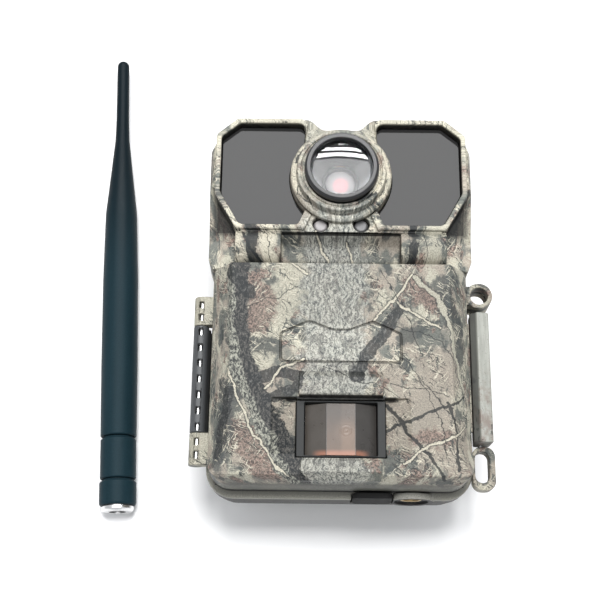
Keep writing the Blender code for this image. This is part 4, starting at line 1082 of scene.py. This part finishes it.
# ---------------- keys, plug and carried-over parts

def make_keys():
    for node in ("key_menu", "key_ok", "key_up", "key_down", "key_left", "key_right"):
        low, high = (Vector(corner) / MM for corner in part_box(node))
        x, y, radius = (low.x + high.x) / 2, (low.y + high.y) / 2, (high.x - low.x) / 2
        cap = turned(node + "_cap", [(0, high.z - 0.5), (radius - 1.6, high.z, 1.5),
                                     (radius, high.z - 0.6, 0.6), (radius, low.z), (0, low.z)],
                     (x, y), 48)
        dress(crisp(cap), "button_" + node.removeprefix("key_"), "grey_plastic", GREY_PLASTIC, node)


def make_plug():
    plug = prism("plug_cap", rectangle((5, 36.5), (19.6, 50.4), 2.4), -73, DOOR_FOOT_Y - 0.6, "Y")
    join(plug, rod("nose", (PORT_X, 42), 2.1, -72, -64, "Y", 32))
    dress(smooth(plug, 0.4), "plug", "rubber", RUBBER, "port_plug")


CARRIED = {
    "black_plastic": (BLACK_PLASTIC, (
        "lens_barrel", "deck_plate", "battery_tray", "dc_socket", "tree_bracket", "speaker", "sd_card")),
    "rubber": (RUBBER, ("window_gasket_left", "window_gasket_right", "door_gasket")),
    "steel": (STEEL, (
        "hinge_pin", "latch_pin", "case_screw_1", "case_screw_2", "case_screw_3", "case_screw_4",
        "antenna_jack_nut", "contact_strip_foot", "contact_strip_head", "sd_socket", "usb_socket",
        "pir_sensor")),
    "brass": (BRASS, ("tripod_insert", "antenna_jack")),
    "circuit_board": (BOARD, ("ir_led_board_left", "ir_led_board_right", "image_sensor_board", "main_board")),
    "grey_plastic": (GREY_PLASTIC, ("power_switch",)),
    "screen": (SCREEN, ("lcd_screen",)),
}


def dress_carried():
    """CAD nodes whose shape is right keep it, with welded and lightly rounded edges."""
    for slot, (finish, nodes) in CARRIED.items():
        for node in nodes:
            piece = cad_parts[node]
            piece.data.materials.clear()
            piece.data.materials.append(finish)
            weld = piece.modifiers.new("weld", "WELD")
            weld.merge_threshold = 0.00001
            rounding = piece.modifiers.new("edge_round", "BEVEL")
            rounding.width = 0.12 * MM
            rounding.segments = 2
            rounding.limit_method = "ANGLE"
            rounding.angle_limit = radians(40)
            piece.modifiers.new("shading", "WEIGHTED_NORMAL")


# ---------------- table, light and camera

def add_light(name, direction, distance, size, strength, glossy_only=False):
    """Rectangular soft box that faces the camera's case; strength is its radiance."""
    data = bpy.data.lights.new(name, "AREA")
    data.shape = "RECTANGLE"
    data.size, data.size_y = size
    data.energy = strength * pi * size[0] * size[1]
    light = bpy.data.objects.new(name, data)
    bpy.context.scene.collection.objects.link(light)
    aim = Vector((0, 0, 0.05))
    back = Vector(direction).normalized()
    light.location = aim + back * distance
    light.rotation_mode = "QUATERNION"
    light.rotation_quaternion = (-back).to_track_quat("-Z", "X")
    light.visible_camera = False
    if glossy_only:
        light.visible_diffuse = False
    return light


def from_vertical(angle):
    """Direction tilted by degrees from straight up towards the head."""
    return (0, sin(radians(angle)), cos(radians(angle)))


def make_studio():
    shape = bmesh.new()
    bmesh.ops.create_grid(shape, x_segments=1, y_segments=1, size=4000)
    table = add_piece("table", shape)
    WORKSHOP.objects.unlink(table)
    bpy.context.scene.collection.objects.link(table)
    paper = Paint("white_paper", 0.7, specular=0.2)
    paper.place = paper.vector("SCALE", paper.place, scale=0.05)
    fibre = paper.noise(paper.place, 1, 2)
    table.data.materials.append(paper.finish(paper.mix(fibre, (0.92, 0.92, 0.92), (0.94, 0.94, 0.94))))

    key = add_light("key_box", from_vertical(9), 1.2, (0.34, 0.34), 43)
    key.visible_glossy = key.visible_transmission = False
    add_light("ceiling_panel", from_vertical(2), 1.2, (1.5, 1.3), 4.4, True)
    for number, (angle, depth) in enumerate(((37.6, 0.07), (42.5, 0.055), (47.2, 0.05))):
        add_light(f"strip_{number}", from_vertical(angle), 1.3, (depth, 1.1), 34, True)

    world = bpy.context.scene.world or bpy.data.worlds.new("studio")
    bpy.context.scene.world = world
    world.use_nodes = True
    nodes, links = world.node_tree.nodes, world.node_tree.links
    background = nodes["Background"]
    background.inputs["Color"].default_value = (0.95, 0.97, 1, 1)
    background.inputs["Strength"].default_value = 0.7
    bright = nodes.new("ShaderNodeBackground")
    bright.inputs["Strength"].default_value = 1.05
    choice = nodes.new("ShaderNodeMixShader")
    links.new(nodes.new("ShaderNodeLightPath").outputs["Is Camera Ray"], choice.inputs[0])
    links.new(background.outputs[0], choice.inputs[1])
    links.new(bright.outputs[0], choice.inputs[2])
    links.new(choice.outputs[0], nodes["World Output"].inputs["Surface"])
    bpy.context.scene.view_settings.view_transform = "Standard"


def make_camera():
    """Camera above the foot end, tilted 19 degrees towards the head, as in the photograph."""
    tilt, swing, roll = radians(19), radians(0.33), radians(0.35)
    aim, distance = Vector((-15.3, -2, 66)), 429
    turn = Matrix.Rotation(swing, 3, "Z")
    forward = turn @ Vector((0, sin(tilt), -cos(tilt)))
    right = turn @ Vector((1, 0, 0))
    right = Matrix.Rotation(-roll, 3, forward) @ right
    up = right.cross(forward)
    data = bpy.data.cameras.new("photo_camera")
    data.sensor_width, data.lens = 36, 69
    data.clip_start, data.clip_end = 0.01, 50
    camera = bpy.data.objects.new("photo_camera", data)
    bpy.context.scene.collection.objects.link(camera)
    basis = Matrix((right, up, -forward)).transposed().to_4x4()
    camera.matrix_world = Matrix.Translation((aim - forward * distance) * MM) @ basis
    bpy.context.scene.camera = camera


# ---------------- assembly

make_case()
make_lugs()
make_head()
make_windows()
make_lens()
make_indicators()
make_door()
make_pir()
make_hinge()
make_latch()
make_antenna()
make_keys()
make_plug()
dress_carried()
make_studio()
make_camera()
bpy.data.collections.remove(WORKSHOP)
